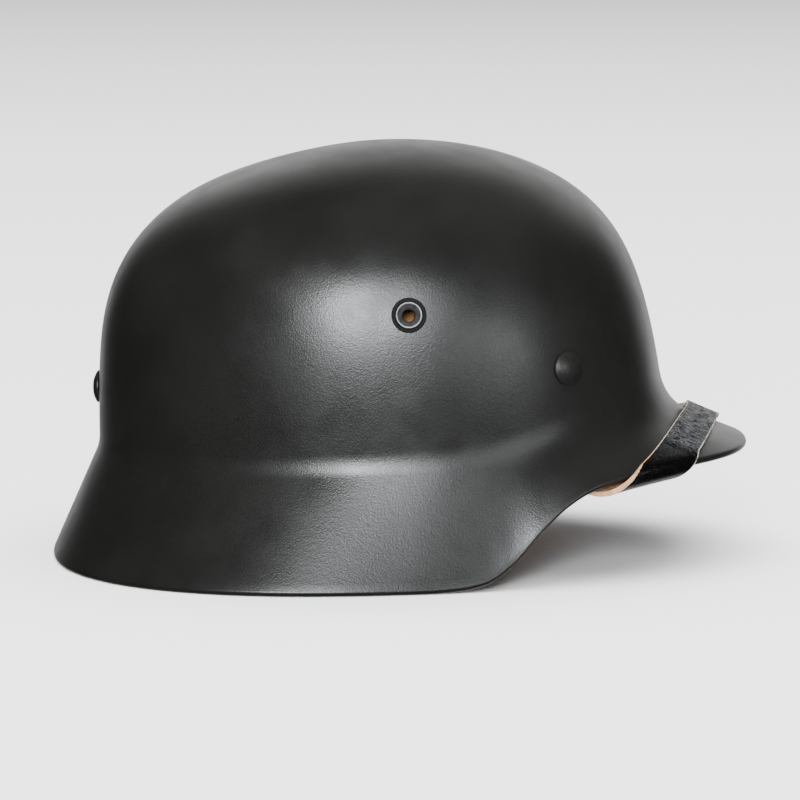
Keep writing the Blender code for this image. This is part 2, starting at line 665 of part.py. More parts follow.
def folded_over_rim(along, up, lift, side):
    """Point over the skirt, round the roll or inside the rim.

    along: distance along the rim from the front; up: distance up the skirt from the roll, below 0
    round the roll and up the inside; lift: distance off the steel.
    """
    azimuth = np.interp(along, rim_distances(), FINE_AZIMUTHS)
    lines = shell_lines(azimuth)
    bend = ROLL_RADIUS + STRAP_LIFT
    angle = np.clip(-up / bend, 0, math.pi)
    inside = np.maximum(-up - math.pi * bend, 0)
    radial = lines["out"] * np.cos(angle) + lines["down"] * np.sin(angle)
    point = lines["roll"] + (ROLL_RADIUS + lift) * radial - lines["down"] * (np.maximum(up, 0) + inside)
    return np.stack([point[0] * np.cos(azimuth), side * point[0] * np.sin(azimuth), point[1]], axis=-1)


def fillet_rise(along, up):
    """Height of the fillet between dome and skirt over the skirt's line."""
    azimuth = np.interp(along, rim_distances(), FINE_AZIMUTHS)
    lines = shell_lines(azimuth)
    wall = unit(lines["top"] - lines["corner"], axis=0)
    cosine = -np.sum(wall * lines["down"], axis=0)
    sine = np.sqrt(1 - cosine ** 2)
    beyond = np.maximum(up - np.linalg.norm(lines["bottom"] - lines["edge"], axis=0), 0)
    share = (1 - np.sqrt(np.maximum(1 - beyond * (1 - cosine) / lines["arm"], 0))) / (1 - cosine)
    return share ** 2 * lines["arm"] * sine


def strap_on_shell(run, across, height, side):
    """Point of the strap outside the shell and round its rim.

    run: distance along the rim from the front; across: from the strap's centre line towards its
    rear edge; height: above its flesh side.
    """
    route = ROUTE_RIGHT if side == RIGHT else ROUTE_LEFT
    knots = np.array(route["along"]) * LENGTH / 2
    up_values = np.array(route["up"]) * STRAP_WIDTH
    small = 0.5 * MM
    up = smooth_curve(run, knots, up_values)
    slope = (smooth_curve(run + small, knots, up_values) - up) / small
    slope = np.where(run < small, slope * run / small, slope)
    length = np.sqrt(1 + slope ** 2)
    lift = smooth_curve(run, knots, np.array(route["lift"]) * STRAP_LIFT)
    rear = STRAP_WIDTH / 2
    bridge = fillet_rise(np.abs(run - rear * slope / length), up + rear / length)
    lift = lift + bridge * (across / STRAP_WIDTH + 0.5)
    along = run - across * slope / length
    space = folded_over_rim(np.abs(along), up + across / length, lift + height, side)
    space[..., 1] *= np.where(along < 0, -1, 1)
    return space


def bail_frame(side):
    """Origin on the outer band, and the bail's axes: along the strap, across it and inwards."""
    outline = lining(np.array([BAIL_AZIMUTH]), -BAIL_DROP, BAND_INSET + BAND_THICKNESS)
    origin = to_space(outline, np.array([BAIL_AZIMUTH]))[0]
    _, normal, tangent = shell_seat(BAIL_AZIMUTH, origin[2])
    forward = -tangent
    below = unit(np.cross(normal, forward))
    below = below if below[2] < 0 else -below
    along = math.cos(BAIL_SWING) * forward + math.sin(BAIL_SWING) * below
    across = math.cos(BAIL_SWING) * below - math.sin(BAIL_SWING) * forward
    flip = np.array([1, side, 1])
    return origin * flip, along * flip, across * flip, -normal * flip


EYE_CENTRE = LUG_GAP + LUG_THICKNESS + GAP + BAIL_WIRE


def strap_eye(side):
    """Centre of the bail's bar that carries the strap."""
    origin, along, _, inside = bail_frame(side)
    return origin + along * (LUG_LENGTH + BAIL_LENGTH) + inside * EYE_CENTRE


def strap_free(run, across, height, side, end):
    """Point of the strap inside the shell, where it runs freely from the rim to its bail.

    It leaves with the section that the fold gives it and is flat after FLAT_SHARE of the run.
    """
    _, along, down, inside = bail_frame(side)
    middle = STRAP_THICKNESS / 2
    leave, before, rear, front = (strap_on_shell(*place, middle, side) for place in (
        (end, 0.0), (end - MM, 0.0), (end, MM), (end, -MM)))
    reach = strap_eye(side)
    chord = np.linalg.norm(reach - leave)
    first, second = unit(leave - before) * chord * LEAVE_PULL, -along * chord
    s = np.clip((run - end) / STRAP_END_REACH, 0, 1)[..., None]
    eased = s * s * (3 - 2 * s)
    bow = inside * FREE_BOW * 16
    path = leave + (reach - leave) * eased + first * s * (1 - s) ** 2 + second * s * s * (s - 1)
    path = path + bow * s * s * (1 - s) ** 2
    tangent = (reach - leave) * 6 * s * (1 - s) + first * (1 - s) * (1 - 3 * s) + second * s * (3 * s - 2)
    tangent = unit(tangent + bow * 2 * s * (1 - s) * (1 - 2 * s))
    share = np.minimum(s / FLAT_SHARE, 1)
    share = share * share * (3 - 2 * share)
    cross = unit(rear - front) * (1 - share) + down * share
    cross = unit(cross - tangent * np.sum(cross * tangent, axis=-1, keepdims=True))
    off = np.cross(tangent, cross)
    off = off * np.sign(np.dot(np.cross(-along, down), inside))
    flat = across[..., None] * cross + (height - middle)[..., None] * off
    folded = strap_on_shell(np.full_like(run, end), across, height, side) - leave
    return path + folded * (1 - share) + flat * share


def strap_point(run, across, height, side):
    """Point of the strap anywhere from the front of the visor to its bail."""
    run, across, height = np.broadcast_arrays(*(np.asarray(a, float) for a in (run, across, height)))
    end = strap_end(side) - STRAP_END_REACH
    outer = strap_on_shell(np.minimum(run, end), across, height, side)
    return np.where((run > end)[..., None], strap_free(run, across, height, side, end), outer)


def strap_end(side):
    """Run at which the strap reaches its bail."""
    route = ROUTE_RIGHT if side == RIGHT else ROUTE_LEFT
    return route["along"][-1] * LENGTH / 2 + STRAP_END_REACH


def ribbon(name, stations, finish="black_leather"):
    """Leather strip: at each station a run, a side and a height of its flesh side."""
    across = np.linspace(-0.5, 0.5, STRAP_ACROSS + 1) * STRAP_WIDTH
    rings = []
    for run, side, height in stations:
        flesh = strap_point(run, across, height, side)
        grain = strap_point(run, across, height + STRAP_THICKNESS, side)
        rings.append(np.concatenate([flesh, grain[::-1]]))
    rings = np.array(rings)
    size = rings.shape[1]
    faces = grid_faces(len(rings), size, False, True)
    for first in (0, (len(rings) - 1) * size):
        for j in range(STRAP_ACROSS):
            faces.append([first + j, first + j + 1, first + size - 2 - j, first + size - 1 - j])
    return add_solid(name, rings.reshape(-1, 3), faces, finish)


def run_steps(start, end):
    """Runs between two runs: the ends, and each whole step between them."""
    low, high = min(start, end), max(start, end)
    steps = np.arange(math.ceil(low / STRAP_STEP + 0.3), math.floor(high / STRAP_STEP - 0.3) + 1) * STRAP_STEP
    runs = np.concatenate([[low], steps, [high]])
    return runs if start < end else runs[::-1]


def cross_rods(name, centre, across, radius, length):
    """Cylinder whose axis lies across the strap."""
    helper = np.array([0.0, 0.0, 1.0]) if abs(across[2]) < 0.9 else np.array([1.0, 0.0, 0.0])
    return rod(name, radius, length, EYE_SIDES, frame_matrix(centre, helper, across))


def add_eye(strip, label, centre, across, wire, width, slot=0.0):
    """Closed eye at a strip's end, round a bar; a slot in its middle makes it two walls."""
    bore = wire + GAP
    wall = (width - slot) / 2 if slot else width
    for i, middle in enumerate(((slot + wall) / 2, -(slot + wall) / 2) if slot else (0.0,)):
        tube = cross_rods("%s_wall_%d" % (label, i + 1), centre + middle * across, across, bore + EYE_WALL, wall)
        combine(strip, tube, "UNION")
    combine(strip, cross_rods(label + "_bore", centre, across, bore, 2 * width), "DIFFERENCE")


def wire_loop(name, length, width, corner, wire, place, finish):
    """Rectangular loop of round wire in its own XY plane, with a bar on the Y axis."""
    path = []
    for x, y, start in ((length - corner, width / 2 - corner, 0), (corner, width / 2 - corner, 90),
                        (corner, corner - width / 2, 180), (length - corner, corner - width / 2, 270)):
        for turn in (0, 30, 60, 90):
            angle = math.radians(start + turn)
            path.append(((x + corner * math.cos(angle), y + corner * math.sin(angle)), angle))
    vertices = []
    for (x, y), angle in path:
        for i in range(WIRE_SIDES):
            around = 2 * math.pi * i / WIRE_SIDES
            out = wire * math.cos(around)
            vertices.append((x + out * math.cos(angle), y + out * math.sin(angle), wire * math.sin(around)))
    made = add_solid(name, vertices, grid_faces(len(path), WIRE_SIDES, True, True), finish)
    made.matrix_world = place
    return made


def build_bail(side, label):
    """Wire bail and the lug on the outer band that it hangs in."""
    origin, along, across, inside = bail_frame(side)
    bar = origin + along * LUG_LENGTH + inside * EYE_CENTRE
    wire_loop("strap_bail_" + label, BAIL_LENGTH, STRAP_WIDTH + 2 * (BAIL_CORNER + GAP), BAIL_CORNER,
              BAIL_WIRE, frame_matrix(bar, along, inside), "steel")
    plate_end = LUG_LENGTH - BAIL_WIRE - GAP
    place = frame_matrix(origin, along, inside)
    base = LUG_GAP + LUG_THICKNESS / 2
    lug = box("strap_lug_" + label, (plate_end + LUG_LENGTH / 2, LUG_WIDTH, LUG_THICKNESS),
              ((plate_end - LUG_LENGTH / 2) / 2, 0, base), place)
    add_eye(lug, "lug_eye_" + label, bar, across, BAIL_WIRE, LUG_WIDTH)


def buckle_run():
    """Run of the buckle's hinge bar, on the left of the strap."""
    return strap_end(LEFT) - BUCKLE_FROM_BAIL


def strap_frame(run, side, height):
    """Place on the strap: its point, and its directions along the run, across and off it."""
    small = MM
    point = strap_point(run, 0.0, height, side)
    along = unit(strap_point(run + small, 0.0, height, side) - strap_point(run - small, 0.0, height, side))
    across = unit(strap_point(run, small, height, side) - strap_point(run, -small, height, side))
    off = unit(strap_point(run, 0.0, height + small, side) - point)
    return point, along, across, off


def build_buckle():
    """Frame buckle with its prong, fastened: one plain piece inside the shell on the left."""
    hinge_height, roller_height = STRAP_THICKNESS / 2, STRAP_THICKNESS + GAP + LINER_GAP + BUCKLE_WIRE
    hinge, _, hinge_across, _ = strap_frame(buckle_run(), LEFT, hinge_height)
    roller, _, roller_across, _ = strap_frame(buckle_run() - BUCKLE_LENGTH, LEFT, roller_height)
    across = unit(hinge_across + roller_across)
    along = unit(roller - hinge)
    off = unit(np.cross(across, along))
    off = off if off[2] > 0 else -off
    along = unit(along - across * np.dot(along, across))
    width = STRAP_WIDTH + 2 * (BUCKLE_SIDE_GAP + BUCKLE_CORNER)
    buckle = wire_loop("strap_buckle", float(np.linalg.norm(roller - hinge)), width, BUCKLE_CORNER,
                       BUCKLE_WIRE, frame_matrix(hinge, along, off), "steel")
    rest = roller + off * (BUCKLE_WIRE + 0.6 * PRONG_RADIUS) + along * BUCKLE_WIRE
    middle = (hinge + rest) / 2
    place, reach = frame_matrix(middle, across, rest - hinge), float(np.linalg.norm(rest - hinge))
    combine(buckle, rod("buckle_prong", PRONG_RADIUS, reach, HOLE_SIDES, place), "UNION")
    return hinge, across


def strap_stations():
    """Stations of the long strap: right bail, over the visor, through the buckle, tail."""
    roller = buckle_run() - BUCKLE_LENGTH
    stations = [(run, RIGHT, 0.0) for run in run_steps(strap_end(RIGHT) - BAIL_WIRE - GAP, 0.0)]
    stations += [(run, LEFT, 0.0) for run in run_steps(0.0, roller)[1:]]
    over = STRAP_THICKNESS / 2 + BUCKLE_WIRE + GAP + EYE_WALL + GAP
    for share, height in zip(BUCKLE_RAMP["run"], BUCKLE_RAMP["height"]):
        stations.append((roller + BUCKLE_LENGTH * share, LEFT, over * height))
    tail = stations[-1][0]
    rest = STRAP_THICKNESS + GAP
    for run in run_steps(tail, buckle_run() + TAIL_LENGTH)[1:]:
        settle = min(1.0, (run - tail) / (2 * STRAP_STEP))
        stations.append((run, LEFT, over + (rest - over) * settle))
    return stations


def punch_holes(strap):
    """Row of oval holes over the front of the visor, and the slot where the prong comes through."""
    holes = [(HOLE_FIRST + i * HOLE_PITCH, HOLE_LENGTH, HOLE_WIDTH) for i in range(HOLE_COUNT)]
    holes.append((buckle_run() - PRONG_SLOT_BACK, PRONG_SLOT_LENGTH, PRONG_SLOT_WIDTH))
    half = 2 * STRAP_THICKNESS
    for i, (run, long, wide) in enumerate(holes):
        side = LEFT if run >= 0 else RIGHT
        point, along, _, off = strap_frame(abs(run), side, STRAP_THICKNESS / 2)
        profile = [(0, half), (wide / 2, half), (wide / 2, -half), (0, -half)]
        place = frame_matrix(point, along, off)
        punch = turned("strap_hole_%d" % (i + 1), profile, HOLE_SIDES, "steel", place)
        punch.matrix_world = punch.matrix_world @ Matrix.Diagonal((long / wide, 1, 1, 1))
        combine(strap, punch, "DIFFERENCE")


def build_strap():
    """Chin strap laid up over the visor: long strap, short strap, buckle, bails and lugs."""
    strap = ribbon("strap", strap_stations())
    add_eye(strap, "strap_eye", strap_eye(RIGHT), bail_frame(RIGHT)[2], BAIL_WIRE, EYE_WIDTH)
    punch_holes(strap)
    hinge, across = build_buckle()
    runs = run_steps(buckle_run() + BUCKLE_WIRE + GAP, strap_end(LEFT) - BAIL_WIRE - GAP)
    short = ribbon("buckle_strap", [(run, LEFT, 0.0) for run in runs])
    add_eye(short, "buckle_strap_eye", strap_eye(LEFT), bail_frame(LEFT)[2], BAIL_WIRE, EYE_WIDTH)
    add_eye(short, "buckle_hinge", hinge, across, BUCKLE_WIRE, EYE_WIDTH, 2 * (PRONG_RADIUS + GAP))
    for side, label in ((RIGHT, "right"), (LEFT, "left")):
        build_bail(side, label)


def build_liner(azimuth):
    """Outer band, springs, inner band and leather."""
    band = build_ring("liner_outer_band", azimuth, BAND_INSET, BAND_THICKNESS,
                      (-BAND_HALF_HEIGHT, 0, BAND_HALF_HEIGHT), "steel")
    build_springs()
    columns = TONGUES * TONGUE_COLUMNS
    even = np.arange(columns) * 2 * math.pi / columns
    build_ring("liner_inner_band", even, CLAMP_INSET, CLAMP_THICKNESS,
               (GAP + LEATHER - LEATHER_HEM, CLAMP_TOP), "steel")
    build_leather(even)
    return band


def main():
    """Build the whole helmet."""
    clear_scene()
    azimuth = column_azimuths()
    shell = build_shell(azimuth)
    band = build_liner(azimuth)
    build_bushings(shell)
    build_rivets(shell, band)
    build_strap()


main()
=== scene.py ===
import math

import bmesh
import bpy
import numpy as np
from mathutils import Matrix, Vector


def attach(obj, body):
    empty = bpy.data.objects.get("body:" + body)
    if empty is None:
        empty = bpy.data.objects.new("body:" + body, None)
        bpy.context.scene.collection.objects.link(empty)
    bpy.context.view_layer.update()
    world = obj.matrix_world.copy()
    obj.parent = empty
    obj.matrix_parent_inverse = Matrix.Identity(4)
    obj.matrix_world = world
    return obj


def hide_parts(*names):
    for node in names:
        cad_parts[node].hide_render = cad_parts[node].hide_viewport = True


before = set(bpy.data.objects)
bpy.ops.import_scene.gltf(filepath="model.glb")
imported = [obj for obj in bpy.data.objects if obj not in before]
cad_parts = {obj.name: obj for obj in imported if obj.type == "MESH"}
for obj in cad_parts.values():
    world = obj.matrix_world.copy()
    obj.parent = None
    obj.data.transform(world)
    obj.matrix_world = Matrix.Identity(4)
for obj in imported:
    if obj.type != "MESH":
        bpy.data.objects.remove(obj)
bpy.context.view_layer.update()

MM = 0.001
RIGHT, LEFT = -1, 1

# Sizes of the shell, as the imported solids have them
LENGTH = 286 * MM
HEIGHT = 169.5 * MM
SHEET = 1.2 * MM
DOME_DEPTH = 0.773 * HEIGHT
DOME_FRONT = 0.39 * LENGTH
DOME_REAR = 0.4335 * LENGTH
DOME_SIDE = 95 * MM
DOME_POWER = 2.2
DOME_TAPER = 0.03
RIM_SIDE = 111.5 * MM
RIM_TAPER = 0.15
RIM_FRONT_POWER = 2.2
RIM_REAR_POWER = 2.4
VISOR_HEIGHT = 0.26 * HEIGHT
WAIST_REAR = 0.2655 * HEIGHT
WAIST_FRONT = 0.354 * HEIGHT
WAIST_POWER = 1.6
ROLL_RADIUS = 1.6 * MM
HEM_HEIGHT = 6 * MM
HEM_DEPTH = 2.4 * MM
HEM_STEP = 1.0 * MM

# Reach of the dome where its surface has turned by an angle from the crown, as shares of
# DOME_FRONT, DOME_SIDE and DOME_REAR
DOME_SECTIONS = {
    "turn_deg": [0, 15, 30, 45, 60, 75, 90],
    "front": [0, 0.340, 0.620, 0.805, 0.905, 0.963, 1],
    "side": [0, 0.345, 0.665, 0.870, 0.962, 0.994, 1],
    "rear": [0, 0.305, 0.635, 0.860, 0.972, 1.000, 1],
}
# Rise of the rim: forward in shares of half the LENGTH, rise in shares of VISOR_HEIGHT
RIM_SECTIONS = {
    "forward": [-1, 0.07, 0.17, 0.24, 0.30, 0.40, 0.47, 0.54, 0.64, 0.82, 1],
    "rise": [0, 0, 0.015, 0.06, 0.18, 0.52, 0.72, 0.845, 0.925, 0.985, 1],
}
# Size of the fillet between dome and skirt, by azimuth away from the front
FILLET_FRONT = 16 * MM
FILLET_SIDE = 5 * MM
FILLET_REAR = 4 * MM
FILLET_SECTIONS = {
    "azimuth_deg": [0, 30, 50, 75, 100, 180],
    "front_share": [1, 0.95, 0.75, 0, 0, 0],
    "side_share": [0, 0, 0, 1, 1, 0],
    "rear_share": [0, 0, 0, 0, 0, 1],
}
FILLET_TOP = 0.98
FILLET_LIMIT = 0.75

# Fineness of the shell's surface
SHELL_COLUMNS = 288
DOME_STEPS = 64
FILLET_STEPS = 14
SKIRT_STEPS = 14
ROLL_STEPS = 14

# Fittings
GAP = 0.3 * MM
LINER_GAP = 0.5 * MM
VENT_AZIMUTH = math.radians(87.8)
VENT_HEIGHT = 0.6395 * HEIGHT
VENT_BORE = 2.35 * MM
VENT_TUBE = 4.6 * MM
VENT_LIP = 5.1 * MM
VENT_LIP_ROUND = 0.62 * MM
VENT_FLANGE = 6.95 * MM
VENT_PLATE = 0.6 * MM
VENT_INNER_FLANGE = 6.0 * MM
RIVET_FRONT_AZIMUTH = math.radians(48.2)
RIVET_FRONT_HEIGHT = 0.5027 * HEIGHT
RIVET_REAR_HEIGHT = 0.3982 * HEIGHT
RIVET_HEAD = 6.7 * MM
RIVET_HEAD_RISE = 2.0 * MM
RIVET_HEAD_EDGE = 0.5 * MM
RIVET_SHANK = 1.6 * MM
RIVET_LEG_LENGTH = 8 * MM
RIVET_LEG = 0.8 * MM
TURNED_SIDES = 72
CUTTER_SIDES = 48
CUTTER_REACH = 6 * MM

# Liner
BAND_HALF_HEIGHT = 12 * MM
BAND_THICKNESS = 1.0 * MM
STEEL_ROUNDING = 0.3 * MM
SPRING_GAP = 0.8 * MM
SPRING_RISE = 6.0 * MM
SPRING_THICKNESS = 0.8 * MM
CLAMP_THICKNESS = 0.8 * MM
CLAMP_TOP = 8 * MM
LEATHER = 1.4 * MM
LEATHER_HEM = 14 * MM
LEATHER_WALL_TOP = 28 * MM
TONGUES = 8
TONGUE_COLUMNS = 24
TONGUE_STEPS = 22
TONGUE_RISE = 0.3245 * HEIGHT
TONGUE_START = math.radians(15)
TONGUE_END = math.radians(76)
TONGUE_TIP_SHARE = 0.62
HEM_INSET = LINER_GAP + BAND_THICKNESS + SPRING_GAP + SPRING_RISE + SPRING_THICKNESS + GAP
WALL_INSET = HEM_INSET + LEATHER + GAP + CLAMP_THICKNESS + GAP

# Chin strap
STRAP_WIDTH = 13.8 * MM
STRAP_THICKNESS = 2.3 * MM
STRAP_LIFT = 1.2 * MM
BAIL_AZIMUTH = math.radians(92)
BAIL_DROP = 8.5 * MM
BAIL_SWING = math.radians(25)
BAIL_WIRE = 1.2 * MM
BAIL_LENGTH = 11 * MM
LUG_GAP = 0.8 * MM
LUG_LENGTH = 9 * MM
LUG_THICKNESS = 1.0 * MM
EYE_WALL = 1.0 * MM
EYE_WIDTH = STRAP_WIDTH - 4 * GAP
STRAP_END_REACH = 54 * MM
LEAVE_PULL = 0.6
FLAT_SHARE = 0.3
FREE_BOW = 4 * MM
HOLE_PITCH = 12.5 * MM
HOLE_WIDTH = 1.9 * MM
HOLE_LENGTH = 3.2 * MM
HOLE_COUNT = 5
HOLE_FIRST = -38 * MM
BUCKLE_FROM_BAIL = 23 * MM
BUCKLE_LENGTH = 13 * MM
BUCKLE_WIRE = 0.9 * MM
PRONG_RADIUS = 0.8 * MM
TAIL_LENGTH = 16 * MM
TAIL_SETTLE = 12 * MM
STRAIGHT_FRONT = 4 * MM
STRAP_STEP = 1.2 * MM
EDGE_ROUNDING = 0.45 * MM
EYE_ROUNDING = 0.3 * MM
EYE_SIDES = 40
# Values in centimetres that give the eyes the look of the grain side far along the strap
EYE_LAY = (15.0, 0.0)
EYE_DEPTH = (0.23, 0.23)

# Route of the strap's centre line: along the rim in shares of half the LENGTH, up from the rim in
# shares of STRAP_WIDTH, and lift off the steel in shares of STRAP_LIFT
ROUTE_RIGHT = {
    "along": [0, 0.175, 0.336, 0.510, 0.630, 0.710, 0.776],
    "up": [1.47, 1.41, 1.02, 0.25, -0.34, -0.70, -1.05],
    "lift": [1.60, 1.50, 1.40, 1.15, 1.25, 1.40, 1.45],
}
ROUTE_LEFT = {
    "along": [0, 0.150, 0.300, 0.430, 0.550, 0.680, 0.800],
    "up": [1.47, 1.10, 0.50, -0.05, -0.45, -0.90, -1.50],
    "lift": [1.60, 1.00, 0.80, 0.90, 1.0, 1.2, 1.8],
}
# Rise of the long strap over the buckle's hinge bar
BUCKLE_RAMP = {
    "run": [0.3, 0.6, 0.85, 1, 1.2],
    "height": [0, 0.45, 0.95, 1, 1],
}

# Camera, which stands in for the photograph's
CAMERA_DISTANCE = 2.0
CAMERA_ELEVATION = math.radians(8.2)
CAMERA_TARGET = (0.0, 0.0, 0.0617)
CAMERA_LENS = 217.7
CAMERA_FILM = 36.0

# Studio
FLOOR_SIZE = 12
LIGHT_TARGET = (0, 0, 0.1)


def level_curve(x, knots, values):
    """Monotone cubic through the knots: it never rises above or dips below its values."""
    knots, values = np.array((knots, values), float)
    step = np.diff(knots)
    slope = np.diff(values) / step
    tangent = np.concatenate([slope[:1], np.zeros(len(slope) - 1), slope[-1:]])
    for i in range(1, len(slope)):
        if slope[i - 1] * slope[i] > 0:
            before, after = 2 * step[i] + step[i - 1], step[i] + 2 * step[i - 1]
            tangent[i] = (before + after) / (before / slope[i - 1] + after / slope[i])
    i = np.clip(np.searchsorted(knots, x) - 1, 0, len(step) - 1)
    s = (x - knots[i]) / step[i]
    ends = values[i] * (1 + 2 * s) * (1 - s) ** 2 + values[i + 1] * s * s * (3 - 2 * s)
    return ends + step[i] * (tangent[i] * s * (1 - s) ** 2 + tangent[i + 1] * s * s * (s - 1))


def smooth_curve(x, knots, values):
    """Natural cubic spline through the knots."""
    knots, values = np.array((knots, values), float)
    count, step = len(knots), np.diff(knots)
    system, right = np.eye(count), np.zeros(count)
    for i in range(1, count - 1):
        system[i, i - 1:i + 2] = step[i - 1], 2 * (step[i - 1] + step[i]), step[i]
        right[i] = 6 * ((values[i + 1] - values[i]) / step[i] - (values[i] - values[i - 1]) / step[i - 1])
    bend = np.linalg.solve(system, right)
    i = np.clip(np.searchsorted(knots, x) - 1, 0, count - 2)
    after, before, gap = x - knots[i], knots[i + 1] - x, step[i]
    cubic = (bend[i] * before ** 3 + bend[i + 1] * after ** 3) / (6 * gap)
    low, high = values[i] / gap - bend[i] * gap / 6, values[i + 1] / gap - bend[i + 1] * gap / 6
    return cubic + low * before + high * after


def unit(vectors, axis=-1):
    """Vectors scaled to length one."""
    return vectors / np.linalg.norm(vectors, axis=axis, keepdims=True)


def egg(azimuth, front, side, rear, taper, front_power, rear_power):
    """Reach of a closed oval: a superellipse that has its own length to the front, side and rear."""
    cosine, sine = np.cos(azimuth), np.sin(azimuth)
    ahead = cosine > 0
    length, power = np.where(ahead, front, rear), np.where(ahead, front_power, rear_power)
    width = side * (1 - taper * cosine)
    return ((np.abs(cosine) / length) ** power + (np.abs(sine) / width) ** power) ** (-1 / power)


def rim_line(azimuth):
    """Reach and height of the rim's lowest line."""
    reach = egg(azimuth, LENGTH / 2, RIM_SIDE, LENGTH / 2, RIM_TAPER, RIM_FRONT_POWER, RIM_REAR_POWER)
    forward = reach * np.cos(azimuth) / (LENGTH / 2)
    rise = level_curve(np.clip(forward, -1, 1), RIM_SECTIONS["forward"], RIM_SECTIONS["rise"])
    return reach, VISOR_HEIGHT * rise


def dome_meridian(azimuth, turn):
    """Reach and height of the dome: an oval of its own at each turn, lower by the turn's cosine."""
    knots = DOME_SECTIONS["turn_deg"]
    front, side, rear = (np.maximum(smooth_curve(np.degrees(turn), knots, DOME_SECTIONS[name]), 1e-9)
                         for name in ("front", "side", "rear"))
    reach = egg(azimuth, DOME_FRONT * front, DOME_SIDE * side, DOME_REAR * rear,
                DOME_TAPER, DOME_POWER, DOME_POWER)
    return np.stack([reach, HEIGHT - DOME_DEPTH * (1 - np.cos(turn)) + 0 * reach])


def dome_base(azimuth):
    """Reach of the dome where it stands upright."""
    return egg(azimuth, DOME_FRONT, DOME_SIDE, DOME_REAR, DOME_TAPER, DOME_POWER, DOME_POWER)


def dome_turn(height):
    """Turn of the dome at a height."""
    return np.arccos(np.clip(1 - (HEIGHT - height) / DOME_DEPTH, -1, 1))


def shell_lines(azimuth):
    """Construction points of the shell's meridians: dome, fillet, skirt and the roll's centre."""
    reach, rise = rim_line(azimuth)
    ahead = np.clip((dome_base(azimuth) * np.cos(azimuth) + DOME_REAR) / (DOME_FRONT + DOME_REAR), 0, 1)
    waist = WAIST_REAR + (WAIST_FRONT - WAIST_REAR) * ahead ** WAIST_POWER
    roll = np.stack([reach - ROLL_RADIUS, rise + ROLL_RADIUS])
    around = np.degrees(np.abs((azimuth + np.pi) % (2 * np.pi) - np.pi))
    arm = sum(size * level_curve(around, FILLET_SECTIONS["azimuth_deg"], FILLET_SECTIONS[share])
              for size, share in ((FILLET_FRONT, "front_share"), (FILLET_SIDE, "side_share"),
                                  (FILLET_REAR, "rear_share")))
    turn = dome_turn(waist)
    arm = np.minimum(arm, FILLET_LIMIT * np.linalg.norm(roll - dome_meridian(azimuth, turn), axis=0))
    turn = dome_turn(waist + FILLET_TOP * arm)
    top = dome_meridian(azimuth, turn)
    corner = top + unit(dome_meridian(azimuth, turn + 1e-4) - top, axis=0) * arm
    out = np.tensordot([[0, -1], [1, 0]], unit(roll - corner, axis=0), axes=1)
    edge = roll + ROLL_RADIUS * out
    down = unit(edge - corner, axis=0)
    out = np.stack([-down[1], down[0]])
    return {"roll": roll, "down": down, "out": out, "corner": corner, "top": top, "turn": turn,
            "arm": arm, "bottom": corner + down * arm, "edge": edge}


def to_space(rows, azimuth):
    """Points in space of rows of reach and height."""
    reach, height = rows[..., 0, :], rows[..., 1, :]
    return np.stack([reach * np.cos(azimuth), reach * np.sin(azimuth), height], axis=-1)


FINE_AZIMUTHS = np.linspace(0, math.pi, 2881)


def rim_distances():
    """Distance run along the rim up to each of FINE_AZIMUTHS."""
    line = to_space(np.stack(rim_line(FINE_AZIMUTHS)), FINE_AZIMUTHS)
    return np.concatenate([[0], np.cumsum(np.linalg.norm(np.diff(line, axis=0), axis=1))])


RIM_DISTANCES = rim_distances()


def column_azimuths():
    """Azimuths of the shell's columns round the whole rim, at even steps along it."""
    places = np.linspace(0, RIM_DISTANCES[-1], SHELL_COLUMNS // 2 + 1)
    half = np.interp(places, RIM_DISTANCES, FINE_AZIMUTHS)
    return np.concatenate([half, -half[1:-1][::-1]])


def quads(rows, columns, close_rows=False, close_columns=False):
    """Faces of a grid of points that is numbered row by row."""
    i = np.arange(rows if close_rows else rows - 1)[:, None]
    j = np.arange(columns if close_columns else columns - 1)[None, :]
    k, n = (i + 1) % rows, (j + 1) % columns
    corners = [i * columns + j, i * columns + n, k * columns + n, k * columns + j]
    return np.stack(corners, axis=-1).reshape(-1, 4)


def fan(centre, ring):
    """Triangles from one point to a closed ring of points."""
    return np.stack([np.full(len(ring), centre), ring, np.roll(ring, -1)], axis=1)


def new_mesh(name, points, faces):
    """Closed mesh from points and groups of faces, turned right side out."""
    mesh = bpy.data.meshes.new(name)
    mesh.from_pydata(points.tolist(), [], [face for group in faces for face in group.tolist()])
    mesh.validate()
    turn_outwards(mesh)
    return mesh


def new_object(name, data):
    """Object in the scene for a mesh, a camera or a light."""
    made = bpy.data.objects.new(name, data)
    bpy.context.scene.collection.objects.link(made)
    return made


def add_piece(name, points, faces, look, stands_for, sharp):
    """Closed piece from points and faces, smooth but for its sharp edges."""
    mesh = new_mesh(name, points, faces)
    mesh.materials.append(look)
    piece = new_object(name, mesh)
    mesh.shade_smooth()
    mesh.set_sharp_from_angle(angle=math.radians(sharp))
    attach(piece, "root")
    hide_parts(*stands_for)
    return piece


def turn_outwards(mesh):
    """Turn a closed mesh right side out, judged by the sign of its volume."""
    mesh.calc_loop_triangles()
    count = len(mesh.loop_triangles)
    corners, places = np.empty(count * 3, np.int32), np.empty(len(mesh.vertices) * 3)
    mesh.loop_triangles.foreach_get("vertices", corners)
    mesh.vertices.foreach_get("co", places)
    a, b, c = places.reshape(-1, 3)[corners.reshape(-1, 3)].transpose(1, 0, 2)
    if np.einsum("ij,ij->", a, np.cross(b, c)) < 0:
        mesh.flip_normals()


def lay_values(mesh, layer, values):
    """Keep a pair of values of each vertex in a UV layer."""
    corners = np.empty(len(mesh.loops), np.int32)
    mesh.loops.foreach_get("vertex_index", corners)
    mesh.uv_layers.new(name=layer).data.foreach_set("uv", values[corners].reshape(-1))


